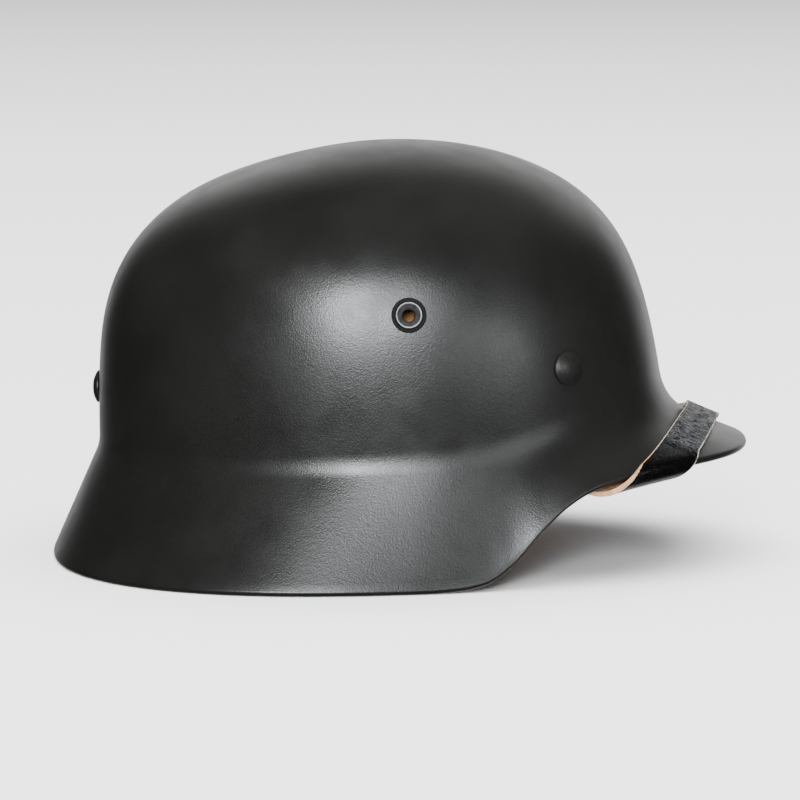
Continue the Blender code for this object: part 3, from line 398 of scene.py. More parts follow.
def arc(start, corner, end, s):
    """Point of a quadratic curve that leaves and arrives along the sides of a corner."""
    return (1 - s) ** 2 * start + 2 * s * (1 - s) * corner + s * s * end


def inward(rows, depth):
    """Meridian rows moved inwards by a depth, square to the sheet."""
    run = unit(np.gradient(rows, axis=0), axis=1)
    out = np.stack([-run[:, 1], run[:, 0]], axis=1)
    out[0] = np.array([[0.0], [1.0]])
    return rows - depth * out


def shell_rows(azimuth):
    """Whole section of the shell: outer skin, roll, hem and inner skin, as reach and height."""
    lines = shell_lines(azimuth)
    outer = [dome_meridian(azimuth, lines["turn"] * i / DOME_STEPS) for i in range(DOME_STEPS + 1)]
    outer[0][0] = 0
    outer += [arc(lines["top"], lines["corner"], lines["bottom"], i / FILLET_STEPS)
              for i in range(1, FILLET_STEPS + 1)]
    outer += [lines["bottom"] + (lines["edge"] - lines["bottom"]) * i / SKIRT_STEPS
              for i in range(1, SKIRT_STEPS + 1)]
    outer = np.array(outer)
    start = np.arctan2(lines["out"][1], lines["out"][0])
    roll = [lines["roll"] + ROLL_RADIUS * np.stack([np.cos(start - turn), np.sin(start - turn)])
            for turn in np.linspace(0, math.pi, ROLL_STEPS + 1)[1:]]
    up, out, edge = -lines["down"], lines["out"], lines["edge"]
    hem_end = edge + up * HEM_HEIGHT - out * HEM_DEPTH
    hem_lip = edge + up * (HEM_HEIGHT + HEM_STEP * 0.4) - out * (HEM_DEPTH * 0.8)
    wall_start = edge + up * (HEM_HEIGHT + HEM_STEP) - out * SHEET
    wall_end = lines["bottom"] - out * SHEET
    skirt = [wall_start + (wall_end - wall_start) * i / SKIRT_STEPS for i in range(SKIRT_STEPS + 1)]
    inner = inward(outer, SHEET)[:-SKIRT_STEPS - 1][::-1]
    return np.concatenate([outer, roll, [hem_end, hem_lip], skirt, inner])


def make_shell(look):
    """Steel shell: each column is the section at one azimuth, turned round the upright axis."""
    azimuth = column_azimuths()
    points = to_space(shell_rows(azimuth), azimuth)
    rings = points[1:-1].reshape(-1, 3)
    vertices = np.concatenate([rings, points[:1, 0], points[-1:, 0]])
    faces = capped(len(points) - 2, SHELL_COLUMNS, len(rings), len(rings) + 1)
    return add_piece("helmet_shell", vertices, faces, look, ("shell",), 50)


def seat(azimuth, height):
    """Point on the outer skin of the dome, its outward normal and its horizontal tangent."""
    def point(at_azimuth, at_turn):
        at_azimuth = np.array([at_azimuth])
        return to_space(dome_meridian(at_azimuth, np.array([at_turn])), at_azimuth)[0]

    turn, small = float(dome_turn(height)), 1e-4
    across = point(azimuth + small, turn) - point(azimuth - small, turn)
    down = point(azimuth, turn + small) - point(azimuth, turn - small)
    return point(azimuth, turn), unit(np.cross(down, across)), unit(across)


def placed(points, origin, along, off):
    """Points from a local frame: X near a direction, Z off the surface."""
    z = unit(np.asarray(off, float))
    x = unit(np.asarray(along, float) - z * np.dot(along, z))
    return origin + points @ np.stack([x, np.cross(z, x), z])


def spun(profile, sides):
    """Points of a profile of radius and height carried round the local Z axis."""
    radius, height = np.asarray(profile, float).T[:, :, None]
    angles = np.arange(sides) * 2 * math.pi / sides
    return np.stack([radius * np.cos(angles), radius * np.sin(angles), height + 0 * angles],
                    axis=-1).reshape(-1, 3)


def capped(rows, columns, start, end):
    """Faces of a tube of rings, closed by a point before its first ring and one after its last."""
    ring = np.arange(columns)
    return [quads(rows, columns, close_columns=True), fan(start, ring)[:, ::-1],
            fan(end, (rows - 1) * columns + ring)]


def turned(profile, sides, origin, along, off):
    """Ring of revolution with a closed profile."""
    return placed(spun(profile, sides), origin, along, off), quads(len(profile), sides, True, True)


def turned_plug(profile, sides, origin, along, off):
    """Solid of revolution whose profile starts and ends on its axis."""
    points = spun(profile[1:-1], sides)
    last = len(points)
    points = np.concatenate([points, [[0, 0, profile[0][1]], [0, 0, profile[-1][1]]]])
    return placed(points, origin, along, off), capped(len(profile) - 2, sides, last, last + 1)


def rounded(profile, radius):
    """Closed profile with each corner rounded by a short arc."""
    profile = np.asarray(profile, float)
    out = []
    for before, corner, after in zip(np.roll(profile, 1, axis=0), profile, np.roll(profile, -1, axis=0)):
        a, b = before - corner, after - corner
        reach = min(radius, 0.45 * np.linalg.norm(a), 0.45 * np.linalg.norm(b))
        a, b = corner + unit(a) * reach, corner + unit(b) * reach
        out += [arc(a, corner, b, s) for s in (0, 0.5, 1)]
    return np.array(out)


def cutter(length, width, origin, along, off):
    """Round or oval pin that a hole is cut with."""
    half = CUTTER_REACH
    profile = [(0, half), (width / 2, half), (width / 2, -half), (0, -half)]
    points, faces = turned_plug(profile, CUTTER_SIDES, np.zeros(3), (1, 0, 0), (0, 0, 1))
    points[:, 0] *= length / width
    return new_object("cutter", new_mesh("cutter", placed(points, origin, along, off), faces))


def pierce(piece, pins, sharp):
    """Cut holes of the pins' shape through a piece, and take the pins away."""
    for pin in pins:
        change = piece.modifiers.new("hole", "BOOLEAN")
        change.operation, change.solver, change.object = "DIFFERENCE", "EXACT", pin
    whole = piece.evaluated_get(bpy.context.evaluated_depsgraph_get())
    mesh = bpy.data.meshes.new_from_object(whole)
    piece.modifiers.clear()
    piece.data = mesh
    mesh.set_sharp_from_angle(angle=math.radians(sharp))
    for pin in pins:
        bpy.data.objects.remove(pin)


def make_bushings(shell, look):
    """Vent bushings: a turned section of bore, cone, raised lip, flange, tube and clinched end."""
    inside = -SHEET - LINER_GAP
    sag = 0.5 * VENT_INNER_FLANGE ** 2 / DOME_SIDE
    top = GAP + VENT_PLATE
    clinch = inside - sag - 2 * VENT_PLATE
    lip = [(VENT_LIP + VENT_LIP_ROUND * math.cos(turn), top + VENT_LIP_ROUND * math.sin(turn))
           for turn in np.linspace(math.radians(160), 0, 9)]
    body = [(VENT_BORE, clinch), (VENT_BORE, -SHEET * 1.4), (VENT_BORE + 0.5 * MM, -SHEET * 0.9),
            (VENT_TUBE - GAP, top * 0.7)] + lip
    rim = [(VENT_FLANGE - 0.5 * MM, top), (VENT_FLANGE - 0.15 * MM, top - 0.15 * MM),
           (VENT_FLANGE, top - 0.4 * MM), (VENT_FLANGE, GAP), (VENT_TUBE, GAP), (VENT_TUBE, inside - sag),
           (VENT_INNER_FLANGE, inside - sag), (VENT_INNER_FLANGE, inside - sag - VENT_PLATE),
           (VENT_INNER_FLANGE - VENT_PLATE, clinch)]
    pins = []
    width = 2 * (VENT_TUBE + GAP)
    for label, side in (("right", RIGHT), ("left", LEFT)):
        point, normal, across = seat(side * VENT_AZIMUTH, VENT_HEIGHT)
        points, faces = turned(body + rim, TURNED_SIDES, point, across, normal)
        bushing = add_piece("bushing_" + label, points, [faces], look,
                            ("vent_bushing_" + label,), 32)
        lay_values(bushing.data, "ring", np.repeat(np.array(body + rim) / MM, TURNED_SIDES, axis=0))
        pins.append(cutter(width, width, point, across, normal))
    pierce(shell, pins, 50)


def box_part(size, centre, origin, along, off):
    """Plain block in a local frame."""
    corners = np.array([(x, y, z) for x in (-0.5, 0.5) for y in (-0.5, 0.5) for z in (-0.5, 0.5)])
    faces = np.array([[0, 1, 3, 2], [4, 6, 7, 5], [0, 4, 5, 1], [2, 3, 7, 6], [0, 2, 6, 4], [1, 5, 7, 3]])
    return placed(corners * size + centre, origin, along, off), faces


def make_rivets(look):
    """Liner rivets: a low dome whose height falls with a power of its radius, and bent open legs."""
    legs = -SHEET - 2 * LINER_GAP - BAND_THICKNESS
    radius = np.linspace(0, 0.955, 12)
    cap = [(RIVET_HEAD * r, GAP + RIVET_HEAD_EDGE + RIVET_HEAD_RISE * (1 - r ** 2.4)) for r in radius]
    side = [(RIVET_HEAD * 0.985, GAP + RIVET_HEAD_EDGE * 1.25), (RIVET_HEAD, GAP + RIVET_HEAD_EDGE * 0.7),
            (RIVET_HEAD * 0.985, GAP), (RIVET_SHANK, GAP), (RIVET_SHANK, legs - RIVET_LEG),
            (0, legs - RIVET_LEG)]
    seats = (("right", -RIVET_FRONT_AZIMUTH, RIVET_FRONT_HEIGHT),
             ("left", RIVET_FRONT_AZIMUTH, RIVET_FRONT_HEIGHT), ("rear", math.pi, RIVET_REAR_HEIGHT))
    for label, azimuth, height in seats:
        point, normal, across = seat(azimuth, height)
        points, faces = turned_plug(cap + side, TURNED_SIDES, point, across, normal)
        leg, leg_faces = box_part((2 * RIVET_SHANK, 2 * RIVET_LEG_LENGTH, RIVET_LEG),
                                  (0, 0, legs - RIVET_LEG / 2), point, across, normal)
        faces = faces + [leg_faces + len(points)]
        add_piece("rivet_" + label, np.concatenate([points, leg]), faces, look,
                  ("liner_rivet_" + label,), 45)


def liner_level(azimuth):
    """Height of the liner's middle plane, which passes through the front and rear rivets."""
    front_reach = dome_meridian(RIVET_FRONT_AZIMUTH, dome_turn(RIVET_FRONT_HEIGHT))[0]
    front_x = front_reach * math.cos(RIVET_FRONT_AZIMUTH)
    rear_x = -dome_meridian(math.pi, dome_turn(RIVET_REAR_HEIGHT))[0]
    slope = (RIVET_FRONT_HEIGHT - RIVET_REAR_HEIGHT) / (front_x - rear_x)
    return RIVET_REAR_HEIGHT + slope * (dome_base(azimuth) * np.cos(azimuth) - rear_x)


def lining(azimuth, rise, inset):
    """Reach and height inside the dome: a rise over the liner's level, an inset from the steel."""
    azimuth = np.asarray(azimuth, float)
    turn = dome_turn(liner_level(azimuth) + rise)
    point = dome_meridian(azimuth, turn)
    run = unit(dome_meridian(azimuth, turn + 1e-3) - point, axis=0)
    return point - (SHEET + inset) * np.stack([-run[1], run[0]])


def tongue_rows(azimuth, inset):
    """Rows of one tongue: an arc in over the crown that narrows evenly and ends in a round tip."""
    base = lining(azimuth, LEATHER_WALL_TOP, inset)
    middle = (azimuth[0] + azimuth[-1]) / 2
    rows = []
    for i in range(1, TONGUE_STEPS + 1):
        share = (i / TONGUE_STEPS) ** 0.85
        angle = TONGUE_START + (TONGUE_END - TONGUE_START) * share
        tip = math.sqrt(max(1 - max((share - 0.8) / 0.23, 0) ** 2, 0))
        turned_in = middle + (azimuth - middle) * tip * (1 - (1 - TONGUE_TIP_SHARE) * share)
        reach = base[0] * math.cos(angle) / math.cos(TONGUE_START)
        height = base[1] + TONGUE_RISE * (math.sin(angle) - math.sin(TONGUE_START))
        rows.append(to_space(np.stack([reach, height]), turned_in))
    return rows


def make_leather(look):
    """Leather lining: a folded hem and a wall carried round the dome, and tongues over the crown."""
    columns = TONGUES * TONGUE_COLUMNS
    azimuth = np.arange(columns) * 2 * math.pi / columns
    back = WALL_INSET + LEATHER
    hem, pocket = -LEATHER_HEM, LEATHER - LEATHER_HEM
    turn = 0.4 * LEATHER
    section = [(LEATHER_WALL_TOP, WALL_INSET), (CLAMP_TOP + 10 * MM, WALL_INSET),
               (CLAMP_TOP, WALL_INSET), (pocket, WALL_INSET), (pocket, HEM_INSET + LEATHER),
               (CLAMP_TOP - turn, HEM_INSET + LEATHER), (CLAMP_TOP, HEM_INSET + LEATHER - turn),
               (CLAMP_TOP, HEM_INSET + turn), (CLAMP_TOP - turn, HEM_INSET),
               (hem + 2 * turn, HEM_INSET), (hem + turn / 2, HEM_INSET + turn / 2),
               (hem, HEM_INSET + 2 * turn), (hem, back - 2 * turn), (hem + turn / 2, back - turn / 2),
               (hem + 2 * turn, back), (CLAMP_TOP, back), (CLAMP_TOP + 10 * MM, back),
               (LEATHER_WALL_TOP, back)]
    rows = np.array([lining(azimuth, rise, inset) for rise, inset in section])
    vertices = [to_space(rows, azimuth).reshape(-1, 3)]
    faces = [quads(len(section), columns, close_columns=True)]
    count, last_row, width = len(section) * columns, (len(section) - 1) * columns, TONGUE_COLUMNS + 1
    for tongue in range(TONGUES):
        own = (tongue * TONGUE_COLUMNS + np.arange(width)) % columns
        around = np.unwrap(azimuth[own])
        skins = []
        for start, inset in ((0, WALL_INSET), (last_row, back)):
            new = np.array(tongue_rows(around, inset)).reshape(-1, 3)
            vertices.append(new)
            index = np.concatenate([start + own, count + np.arange(len(new))])
            count += len(new)
            skins.append(index.reshape(-1, width))
            faces.append(index[quads(len(skins[-1]), width)])
        outer, face = skins
        for a, b in ((outer[:, 0], face[:, 0]), (outer[:, -1], face[:, -1]), (outer[-1], face[-1])):
            faces.append(np.stack([a[:-1], a[1:], b[1:], b[:-1]], axis=1))
    return add_piece("leather_lining", np.concatenate(vertices), faces, look,
                     ("liner_leather",), 60)


def make_outer_band(look):
    """Outer band: a flat strip section carried round inside the dome at the liner's level."""
    azimuth = column_azimuths()
    top, front, back = BAND_HALF_HEIGHT, LINER_GAP, LINER_GAP + BAND_THICKNESS
    profile = rounded([(-top, front), (-top * 0.33, front), (top * 0.33, front), (top, front),
                       (top, back), (top * 0.33, back), (-top * 0.33, back), (-top, back)],
                      STEEL_ROUNDING)
    rows = np.array([lining(azimuth, rise, inset) for rise, inset in profile])
    points = to_space(rows, azimuth).reshape(-1, 3)
    return add_piece("outer_band", points, [quads(len(profile), len(azimuth), True, True)], look,
                     ("liner_outer_band",), 50)


def route(side):
    """Route table of one side of the strap."""
    return ROUTE_RIGHT if side == RIGHT else ROUTE_LEFT


def folded_over_rim(along, up, lift, side):
    """Point over the skirt, round the roll or inside the rim, at a distance off the steel."""
    azimuth = np.interp(along, RIM_DISTANCES, FINE_AZIMUTHS)
    lines = shell_lines(azimuth)
    bend = ROLL_RADIUS + STRAP_LIFT
    angle = np.clip(-up / bend, 0, math.pi)
    inside = np.maximum(-up - math.pi * bend, 0)
    radial = lines["out"] * np.cos(angle) + lines["down"] * np.sin(angle)
    point = lines["roll"] + (ROLL_RADIUS + lift) * radial - lines["down"] * (np.maximum(up, 0) + inside)
    return np.stack([point[0] * np.cos(azimuth), side * point[0] * np.sin(azimuth), point[1]], axis=-1)


def fillet_rise(along, up):
    """Height of the fillet between dome and skirt over the skirt's line."""
    lines = shell_lines(np.interp(along, RIM_DISTANCES, FINE_AZIMUTHS))
    wall = unit(lines["top"] - lines["corner"], axis=0)
    cosine = -np.sum(wall * lines["down"], axis=0)
    sine = np.sqrt(1 - cosine ** 2)
    beyond = np.maximum(up - np.linalg.norm(lines["bottom"] - lines["edge"], axis=0), 0)
    share = (1 - np.sqrt(np.maximum(1 - beyond * (1 - cosine) / lines["arm"], 0))) / (1 - cosine)
    return share ** 2 * lines["arm"] * sine


def strap_on_shell(run, across, height, side):
    """Point of the strap outside the shell and round its rim."""
    table = route(side)
    knots = np.array(table["along"]) * LENGTH / 2
    up_values = np.array(table["up"]) * STRAP_WIDTH
    small = 0.5 * MM
    up = smooth_curve(run, knots, up_values)
    slope = (smooth_curve(run + small, knots, up_values) - up) / small
    slope = slope * np.clip(run / STRAIGHT_FRONT, 0, 1)
    length = np.sqrt(1 + slope ** 2)
    lift = smooth_curve(run, knots, np.array(table["lift"]) * STRAP_LIFT)
    rear = STRAP_WIDTH / 2
    fillet = fillet_rise(np.abs(run - rear * slope / length), up + rear / length)
    lift = lift + fillet * (across / STRAP_WIDTH + 0.5)
    along = run - across * slope / length
    space = folded_over_rim(np.abs(along), up + across / length, lift + height, side)
    space[..., 1] *= np.where(along < 0, -1, 1)
    return space


def bail_frame(side):
    """Origin on the outer band, and the bail's axes: along the strap, across it and inwards."""
    outline = lining(np.array([BAIL_AZIMUTH]), -BAIL_DROP, LINER_GAP + BAND_THICKNESS)
    origin = to_space(outline, np.array([BAIL_AZIMUTH]))[0]
    _, normal, tangent = seat(BAIL_AZIMUTH, origin[2])
    forward = -tangent
    below = unit(np.cross(normal, forward))
    below = below if below[2] < 0 else -below
    along = math.cos(BAIL_SWING) * forward + math.sin(BAIL_SWING) * below
    across = math.cos(BAIL_SWING) * below - math.sin(BAIL_SWING) * forward
    flip = np.array([1, side, 1])
    return origin * flip, along * flip, across * flip, -normal * flip


EYE_CENTRE = LUG_GAP + LUG_THICKNESS + GAP + BAIL_WIRE


def strap_eye(side):
    """Centre of the bail's bar that carries the strap."""
    origin, along, _, inside = bail_frame(side)
    return origin + along * (LUG_LENGTH + BAIL_LENGTH) + inside * EYE_CENTRE


def strap_free(run, across, height, side, end):
    """Point of the strap inside the shell: a cubic from the rim to the bail, soon flat across."""
    _, along, down, inside = bail_frame(side)
    middle = STRAP_THICKNESS / 2
    leave, before, rear, front = (strap_on_shell(*place, middle, side) for place in (
        (end, 0.0), (end - MM, 0.0), (end, MM), (end, -MM)))
    reach = strap_eye(side)
    chord = np.linalg.norm(reach - leave)
    first, second = unit(leave - before) * chord * LEAVE_PULL, -along * chord
    s = np.clip((run - end) / STRAP_END_REACH, 0, 1)[..., None]
    eased = s * s * (3 - 2 * s)
    bow = inside * FREE_BOW * 16
    path = leave + (reach - leave) * eased + first * s * (1 - s) ** 2 + second * s * s * (s - 1)
    path = path + bow * s * s * (1 - s) ** 2
    tangent = (reach - leave) * 6 * s * (1 - s) + first * (1 - s) * (1 - 3 * s) + second * s * (3 * s - 2)
    tangent = unit(tangent + bow * 2 * s * (1 - s) * (1 - 2 * s))
    share = np.minimum(s / FLAT_SHARE, 1)
    share = share * share * (3 - 2 * share)
    cross = unit(rear - front) * (1 - share) + down * share
    cross = unit(cross - tangent * np.sum(cross * tangent, axis=-1, keepdims=True))
    off = np.cross(tangent, cross)
    off = off * np.sign(np.dot(np.cross(-along, down), inside))
    flat = across[..., None] * cross + (height - middle)[..., None] * off
    folded = strap_on_shell(np.full_like(run, end), across, height, side) - leave
    return path + folded * (1 - share) + flat * share


def strap_end(side):
    """Run at which the strap reaches its bail."""
    return route(side)["along"][-1] * LENGTH / 2 + STRAP_END_REACH


def strap_point(run, across, height, side):
    """Point of the strap anywhere from the front of the visor to its bail."""
    run, across, height = np.broadcast_arrays(*(np.asarray(a, float) for a in (run, across, height)))
    end = strap_end(side) - STRAP_END_REACH
    outer = strap_on_shell(np.minimum(run, end), across, height, side)
    return np.where((run > end)[..., None], strap_free(run, across, height, side, end), outer)


def strap_frame(run, side, height):
    """Place on the strap: its point, and its directions along the run, across and off it."""
    point = strap_point(run, 0.0, height, side)
    along = unit(strap_point(run + MM, 0.0, height, side) - strap_point(run - MM, 0.0, height, side))
    across = unit(strap_point(run, MM, height, side) - strap_point(run, -MM, height, side))
    off = unit(strap_point(run, 0.0, height + MM, side) - point)
    return point, along, across, off


def strap_section():
    """Section of the strap: a flat strip with rounded edges, as across and height."""
    half, thick = STRAP_WIDTH / 2, STRAP_THICKNESS
    inner = half - EDGE_ROUNDING
    flat = np.linspace(-1, 1, 19)[1:-1] * inner
    turns = np.linspace(0, math.pi / 2, 5)
    high, low = thick - EDGE_ROUNDING, EDGE_ROUNDING
    sine, cosine = EDGE_ROUNDING * np.sin(turns), EDGE_ROUNDING * np.cos(turns)
    wall = [[half, high + (low - high) * s] for s in (0.33, 0.67)]
    right_side = np.concatenate([np.stack([inner + sine, high + cosine], axis=1), wall,
                                 np.stack([inner + cosine, low - sine], axis=1)])
    top = np.stack([flat, np.full_like(flat, thick)], axis=1)
    bottom = np.stack([flat[::-1], np.zeros_like(flat)], axis=1)
    return np.concatenate([top, right_side, bottom, right_side[::-1] * [-1, 1]])


def make_ribbon(name, stations, look, stands_for, round_tip=False):
    """Leather strip: the strap's section at each station (run, side, height), with closed ends."""
    section = strap_section()
    rings, lay = [], []
    for run, side, height in stations:
        left = abs(stations[-1][0] - run) / (STRAP_WIDTH / 2)
        narrow = math.sqrt(max(1 - max(1 - left, 0) ** 2, 0.02)) if round_tip else 1.0
        rings.append(strap_point(run, section[:, 0] * narrow, section[:, 1] + height, side))
        lay.append(np.stack([np.full(len(section), run * side), section[:, 0], section[:, 1]], axis=1))
    size, count = len(section), len(rings)
    points = np.concatenate(rings + [[rings[0].mean(axis=0)], [rings[-1].mean(axis=0)]])
    faces = capped(count, size, count * size, count * size + 1)
    piece = add_piece(name, points, faces, look, stands_for, 60)
    ends = [[[ring[0, 0], 0, STRAP_THICKNESS / 2]] for ring in (lay[0], lay[-1])]
    lay = np.concatenate(lay + ends) / MM / 10
    for layer, columns in (("lay", (0, 1)), ("depth", (2, 2))):
        lay_values(piece.data, layer, lay[:, columns])
    return piece


def steps(start, end):
    """Runs at even steps from one run to another."""
    return np.linspace(start, end, max(2, int(round(abs(end - start) / STRAP_STEP)) + 1))


def make_eye(centre, across, wire, low, high):
    """Wall of an eye at a strip's end: a turned ring round a bar, between two places across."""
    helper = (0, 0, 1) if abs(across[2]) < 0.9 else (1, 0, 0)
    bore = wire + GAP
    profile = rounded([(bore, high), (bore + EYE_WALL, high), (bore + EYE_WALL, low), (bore, low)],
                      EYE_ROUNDING)
    points, faces = turned(profile, EYE_SIDES, centre, helper, across)
    mesh = new_mesh("eye", points, [faces])
    for layer, value in (("lay", EYE_LAY), ("depth", EYE_DEPTH)):
        lay_values(mesh, layer, np.tile(value, (len(points), 1)))
    return mesh


def make_straps(look):
    """Long strap from the right bail over the visor to the buckle, and the short strap behind it."""
    hinge_run = strap_end(LEFT) - BUCKLE_FROM_BAIL
    roller_run = hinge_run - BUCKLE_LENGTH
    over = STRAP_THICKNESS / 2 + BUCKLE_WIRE + GAP + EYE_WALL + GAP
    start = strap_end(RIGHT) - BAIL_WIRE - GAP
    stations = [(run, RIGHT, 0.0) for run in steps(start, 0.0)]
    stations += [(run, LEFT, 0.0) for run in steps(0.0, roller_run)[1:]]
    tail = roller_run + BUCKLE_LENGTH * BUCKLE_RAMP["run"][-1]
    rest = STRAP_THICKNESS + GAP
    for run in steps(roller_run, hinge_run + TAIL_LENGTH)[1:]:
        share = (run - roller_run) / BUCKLE_LENGTH
        height = over * level_curve(min(share, 1.2), [0] + BUCKLE_RAMP["run"], [0] + BUCKLE_RAMP["height"])
        settle = min(max((run - tail) / TAIL_SETTLE, 0), 1)
        stations.append((run, LEFT, height + (rest - over) * settle if run > tail else height))
    strap = make_ribbon("chin_strap", stations, look, ("strap",), round_tip=True)
    pins = []
    for i in range(HOLE_COUNT):
        run = HOLE_FIRST + i * HOLE_PITCH
        point, along, _, off = strap_frame(abs(run), LEFT if run >= 0 else RIGHT, STRAP_THICKNESS / 2)
        pins.append(cutter(HOLE_LENGTH, HOLE_WIDTH, point, along, off))
    pierce(strap, pins, 60)
    stations = [(run, LEFT, 0.0)
                for run in steps(hinge_run + BUCKLE_WIRE + GAP, strap_end(LEFT) - BAIL_WIRE - GAP)]
    short = make_ribbon("short_strap", stations, look, ("buckle_strap",))
    hinge, _, hinge_across, _ = strap_frame(hinge_run, LEFT, STRAP_THICKNESS / 2)
    half, slot = EYE_WIDTH / 2, PRONG_RADIUS + GAP
    join(strap, [make_eye(strap_eye(RIGHT), bail_frame(RIGHT)[2], BAIL_WIRE, -half, half)])
    join(short, [make_eye(strap_eye(LEFT), bail_frame(LEFT)[2], BAIL_WIRE, -half, half),
                 make_eye(hinge, hinge_across, BUCKLE_WIRE, -half, -slot),
                 make_eye(hinge, hinge_across, BUCKLE_WIRE, slot, half)])


def join(piece, meshes):
    """Add other meshes to a piece's own mesh."""
    work = bmesh.new()
    work.from_mesh(piece.data)
    for mesh in meshes:
        work.from_mesh(mesh)
    work.to_mesh(piece.data)
    work.free()
    piece.data.shade_smooth()
    piece.data.set_sharp_from_angle(angle=math.radians(60))


def node(tree, kind, inputs=(), **settings):
    """Shader node with its inputs set to a value or linked to another node's output."""
    made = tree.nodes.new("ShaderNode" + kind)
    for name, value in settings.items():
        setattr(made, name, value)
    for key, value in dict(inputs).items():
        if isinstance(value, bpy.types.NodeSocket):
            tree.links.new(value, made.inputs[key])
        else:
            made.inputs[key].default_value = value
    return made


def new_look(name, roughness, metallic=0.0, **sockets):
    """Material with a Principled shader whose plain values are set on its own sockets."""
    look = bpy.data.materials.new(name)
    look.use_nodes = True
    tree = look.node_tree
    shader = tree.nodes["Principled BSDF"]
    shader.inputs["Roughness"].default_value = roughness
    shader.inputs["Metallic"].default_value = metallic
    for key, value in sockets.items():
        shader.inputs[key.replace("_", " ")].default_value = value
    return look, tree, shader


def tree_of(*values):
    """Node tree that the linked ones among some values belong to."""
    return next(value.id_data for value in values if isinstance(value, bpy.types.NodeSocket))


def noise(place, scale, detail=2.0, roughness=0.5):
    """Noise over a coordinate, from 0 to 1, with a scale in cells for each unit of it."""
    inputs = {"Vector": place, "Scale": scale, "Detail": detail, "Roughness": roughness}
    return node(place.id_data, "TexNoise", inputs).outputs["Fac"]


def ramp(value, low, high, to_low=0.0, to_high=1.0, smooth=True):
    """Value carried from one range to another, held at its ends."""
    inputs = {"Value": value, "From Min": low, "From Max": high, "To Min": to_low, "To Max": to_high}
    form = "SMOOTHSTEP" if smooth else "LINEAR"
    return node(value.id_data, "MapRange", inputs, interpolation_type=form).outputs["Result"]


def mix(share, first, second):
    """Colour between two colours, each a link or its red, green and blue."""
    first, second = ((*color, 1) if isinstance(color, tuple) else color for color in (first, second))
    return node(share.id_data, "MixRGB", {"Fac": share, "Color1": first, "Color2": second}).outputs["Color"]


def maths(operation, a, b=0.0):
    """One arithmetic step."""
    return node(tree_of(a, b), "Math", {0: a, 1: b}, operation=operation).outputs[0]


def total(a, b):
    """Sum of two values."""
    return maths("ADD", a, b)


def product(a, b):
    """Product of two values."""
    return maths("MULTIPLY", a, b)


def object_place(tree):
    """Object coordinates, in metres."""
    return node(tree, "TexCoord").outputs["Object"]


def coat(shader, color, roughness):
    """Colour and roughness of a look."""
    links = shader.id_data.links
    links.new(color, shader.inputs["Base Color"])
    links.new(roughness, shader.inputs["Roughness"])


def bump(shader, height, strength, distance):
    """Relief from a height."""
    tree = shader.id_data
    relief = node(tree, "Bump", {"Height": height, "Strength": strength, "Distance": distance})
    tree.links.new(relief.outputs["Normal"], shader.inputs["Normal"])


def paint_look(name, roughness):
    """Satin dark grey paint: a fine orange peel, a slow drift of tone and of sheen."""
    look, tree, shader = new_look(name, roughness, Specular_IOR_Level=0.5)
    place = object_place(tree)
    drift = ramp(noise(place, 22, 3), 0.3, 0.7)
    base = mix(drift, (0.0052, 0.0053, 0.0048), (0.0074, 0.0075, 0.0068))
    sheen = ramp(noise(place, 60, 4), 0.3, 0.7, roughness - 0.03, roughness + 0.04)
    coat(shader, base, sheen)
    peel = noise(place, 1500, 2, 0.55)
    coarse = noise(place, 520, 1)
    bump(shader, total(peel, product(coarse, 0.35)), 0.55, 0.00011)
    return look


def bushing_look():
    """Vent bushing's paint: dull dark flange, a pale ring on the lip, and a grey cone inside the lip that
    darkens to painted shade at the bore.
    """
    look, tree, shader = new_look("bushing_paint", 0.6, Specular_IOR_Level=0.28)
    place = object_place(tree)
    radius = node(tree, "SeparateXYZ", {0: node(tree, "UVMap", uv_map="ring").outputs["UV"]}).outputs["X"]
    radius = total(radius, ramp(noise(place, 900, 3), 0.2, 0.8, -0.05, 0.05))
    lip, bore = VENT_LIP / MM, VENT_BORE / MM
    cloud = ramp(noise(place, 400, 4), 0.3, 0.7)
    cone = mix(cloud, (0.024, 0.024, 0.025), (0.042, 0.042, 0.044))
    # Painted shade: the cone turns near black at the bore's edge and down the bore.
    cone = mix(ramp(radius, bore + 0.1, bore + 0.7), (0.012, 0.011, 0.010), cone)
    pale = mix(cloud, (0.17, 0.175, 0.18), (0.26, 0.265, 0.27))
    inside = mix(ramp(radius, lip - 0.52, lip - 0.36), cone, pale)
    outside = ramp(radius, lip - 0.12, lip + 0.08)
    color = mix(outside, inside, (0.0045, 0.0048, 0.0044))
    coat(shader, color, ramp(outside, 0.0, 1.0, 0.42, 0.85, False))
    bump(shader, noise(place, 1500, 2, 0.55), 0.4, 0.0001)
    return look


def steel_look(name, shade, roughness):
    """Plain steel with a dull zinc bloom: cloudy tone and fine scratches."""
    look, tree, shader = new_look(name, roughness, 0.9)
    place = object_place(tree)
    cloud = ramp(noise(place, 90, 5, 0.6), 0.3, 0.72)
    base = mix(cloud, (shade * 0.62, shade * 0.62, shade * 0.60), (shade, shade, shade * 0.98))
    scratches = ramp(noise(place, 240, 4), 0.3, 0.7, roughness - 0.08, roughness + 0.12)
    coat(shader, base, scratches)
    bump(shader, noise(place, 700, 4, 0.6), 0.15, 0.0001)
    return look


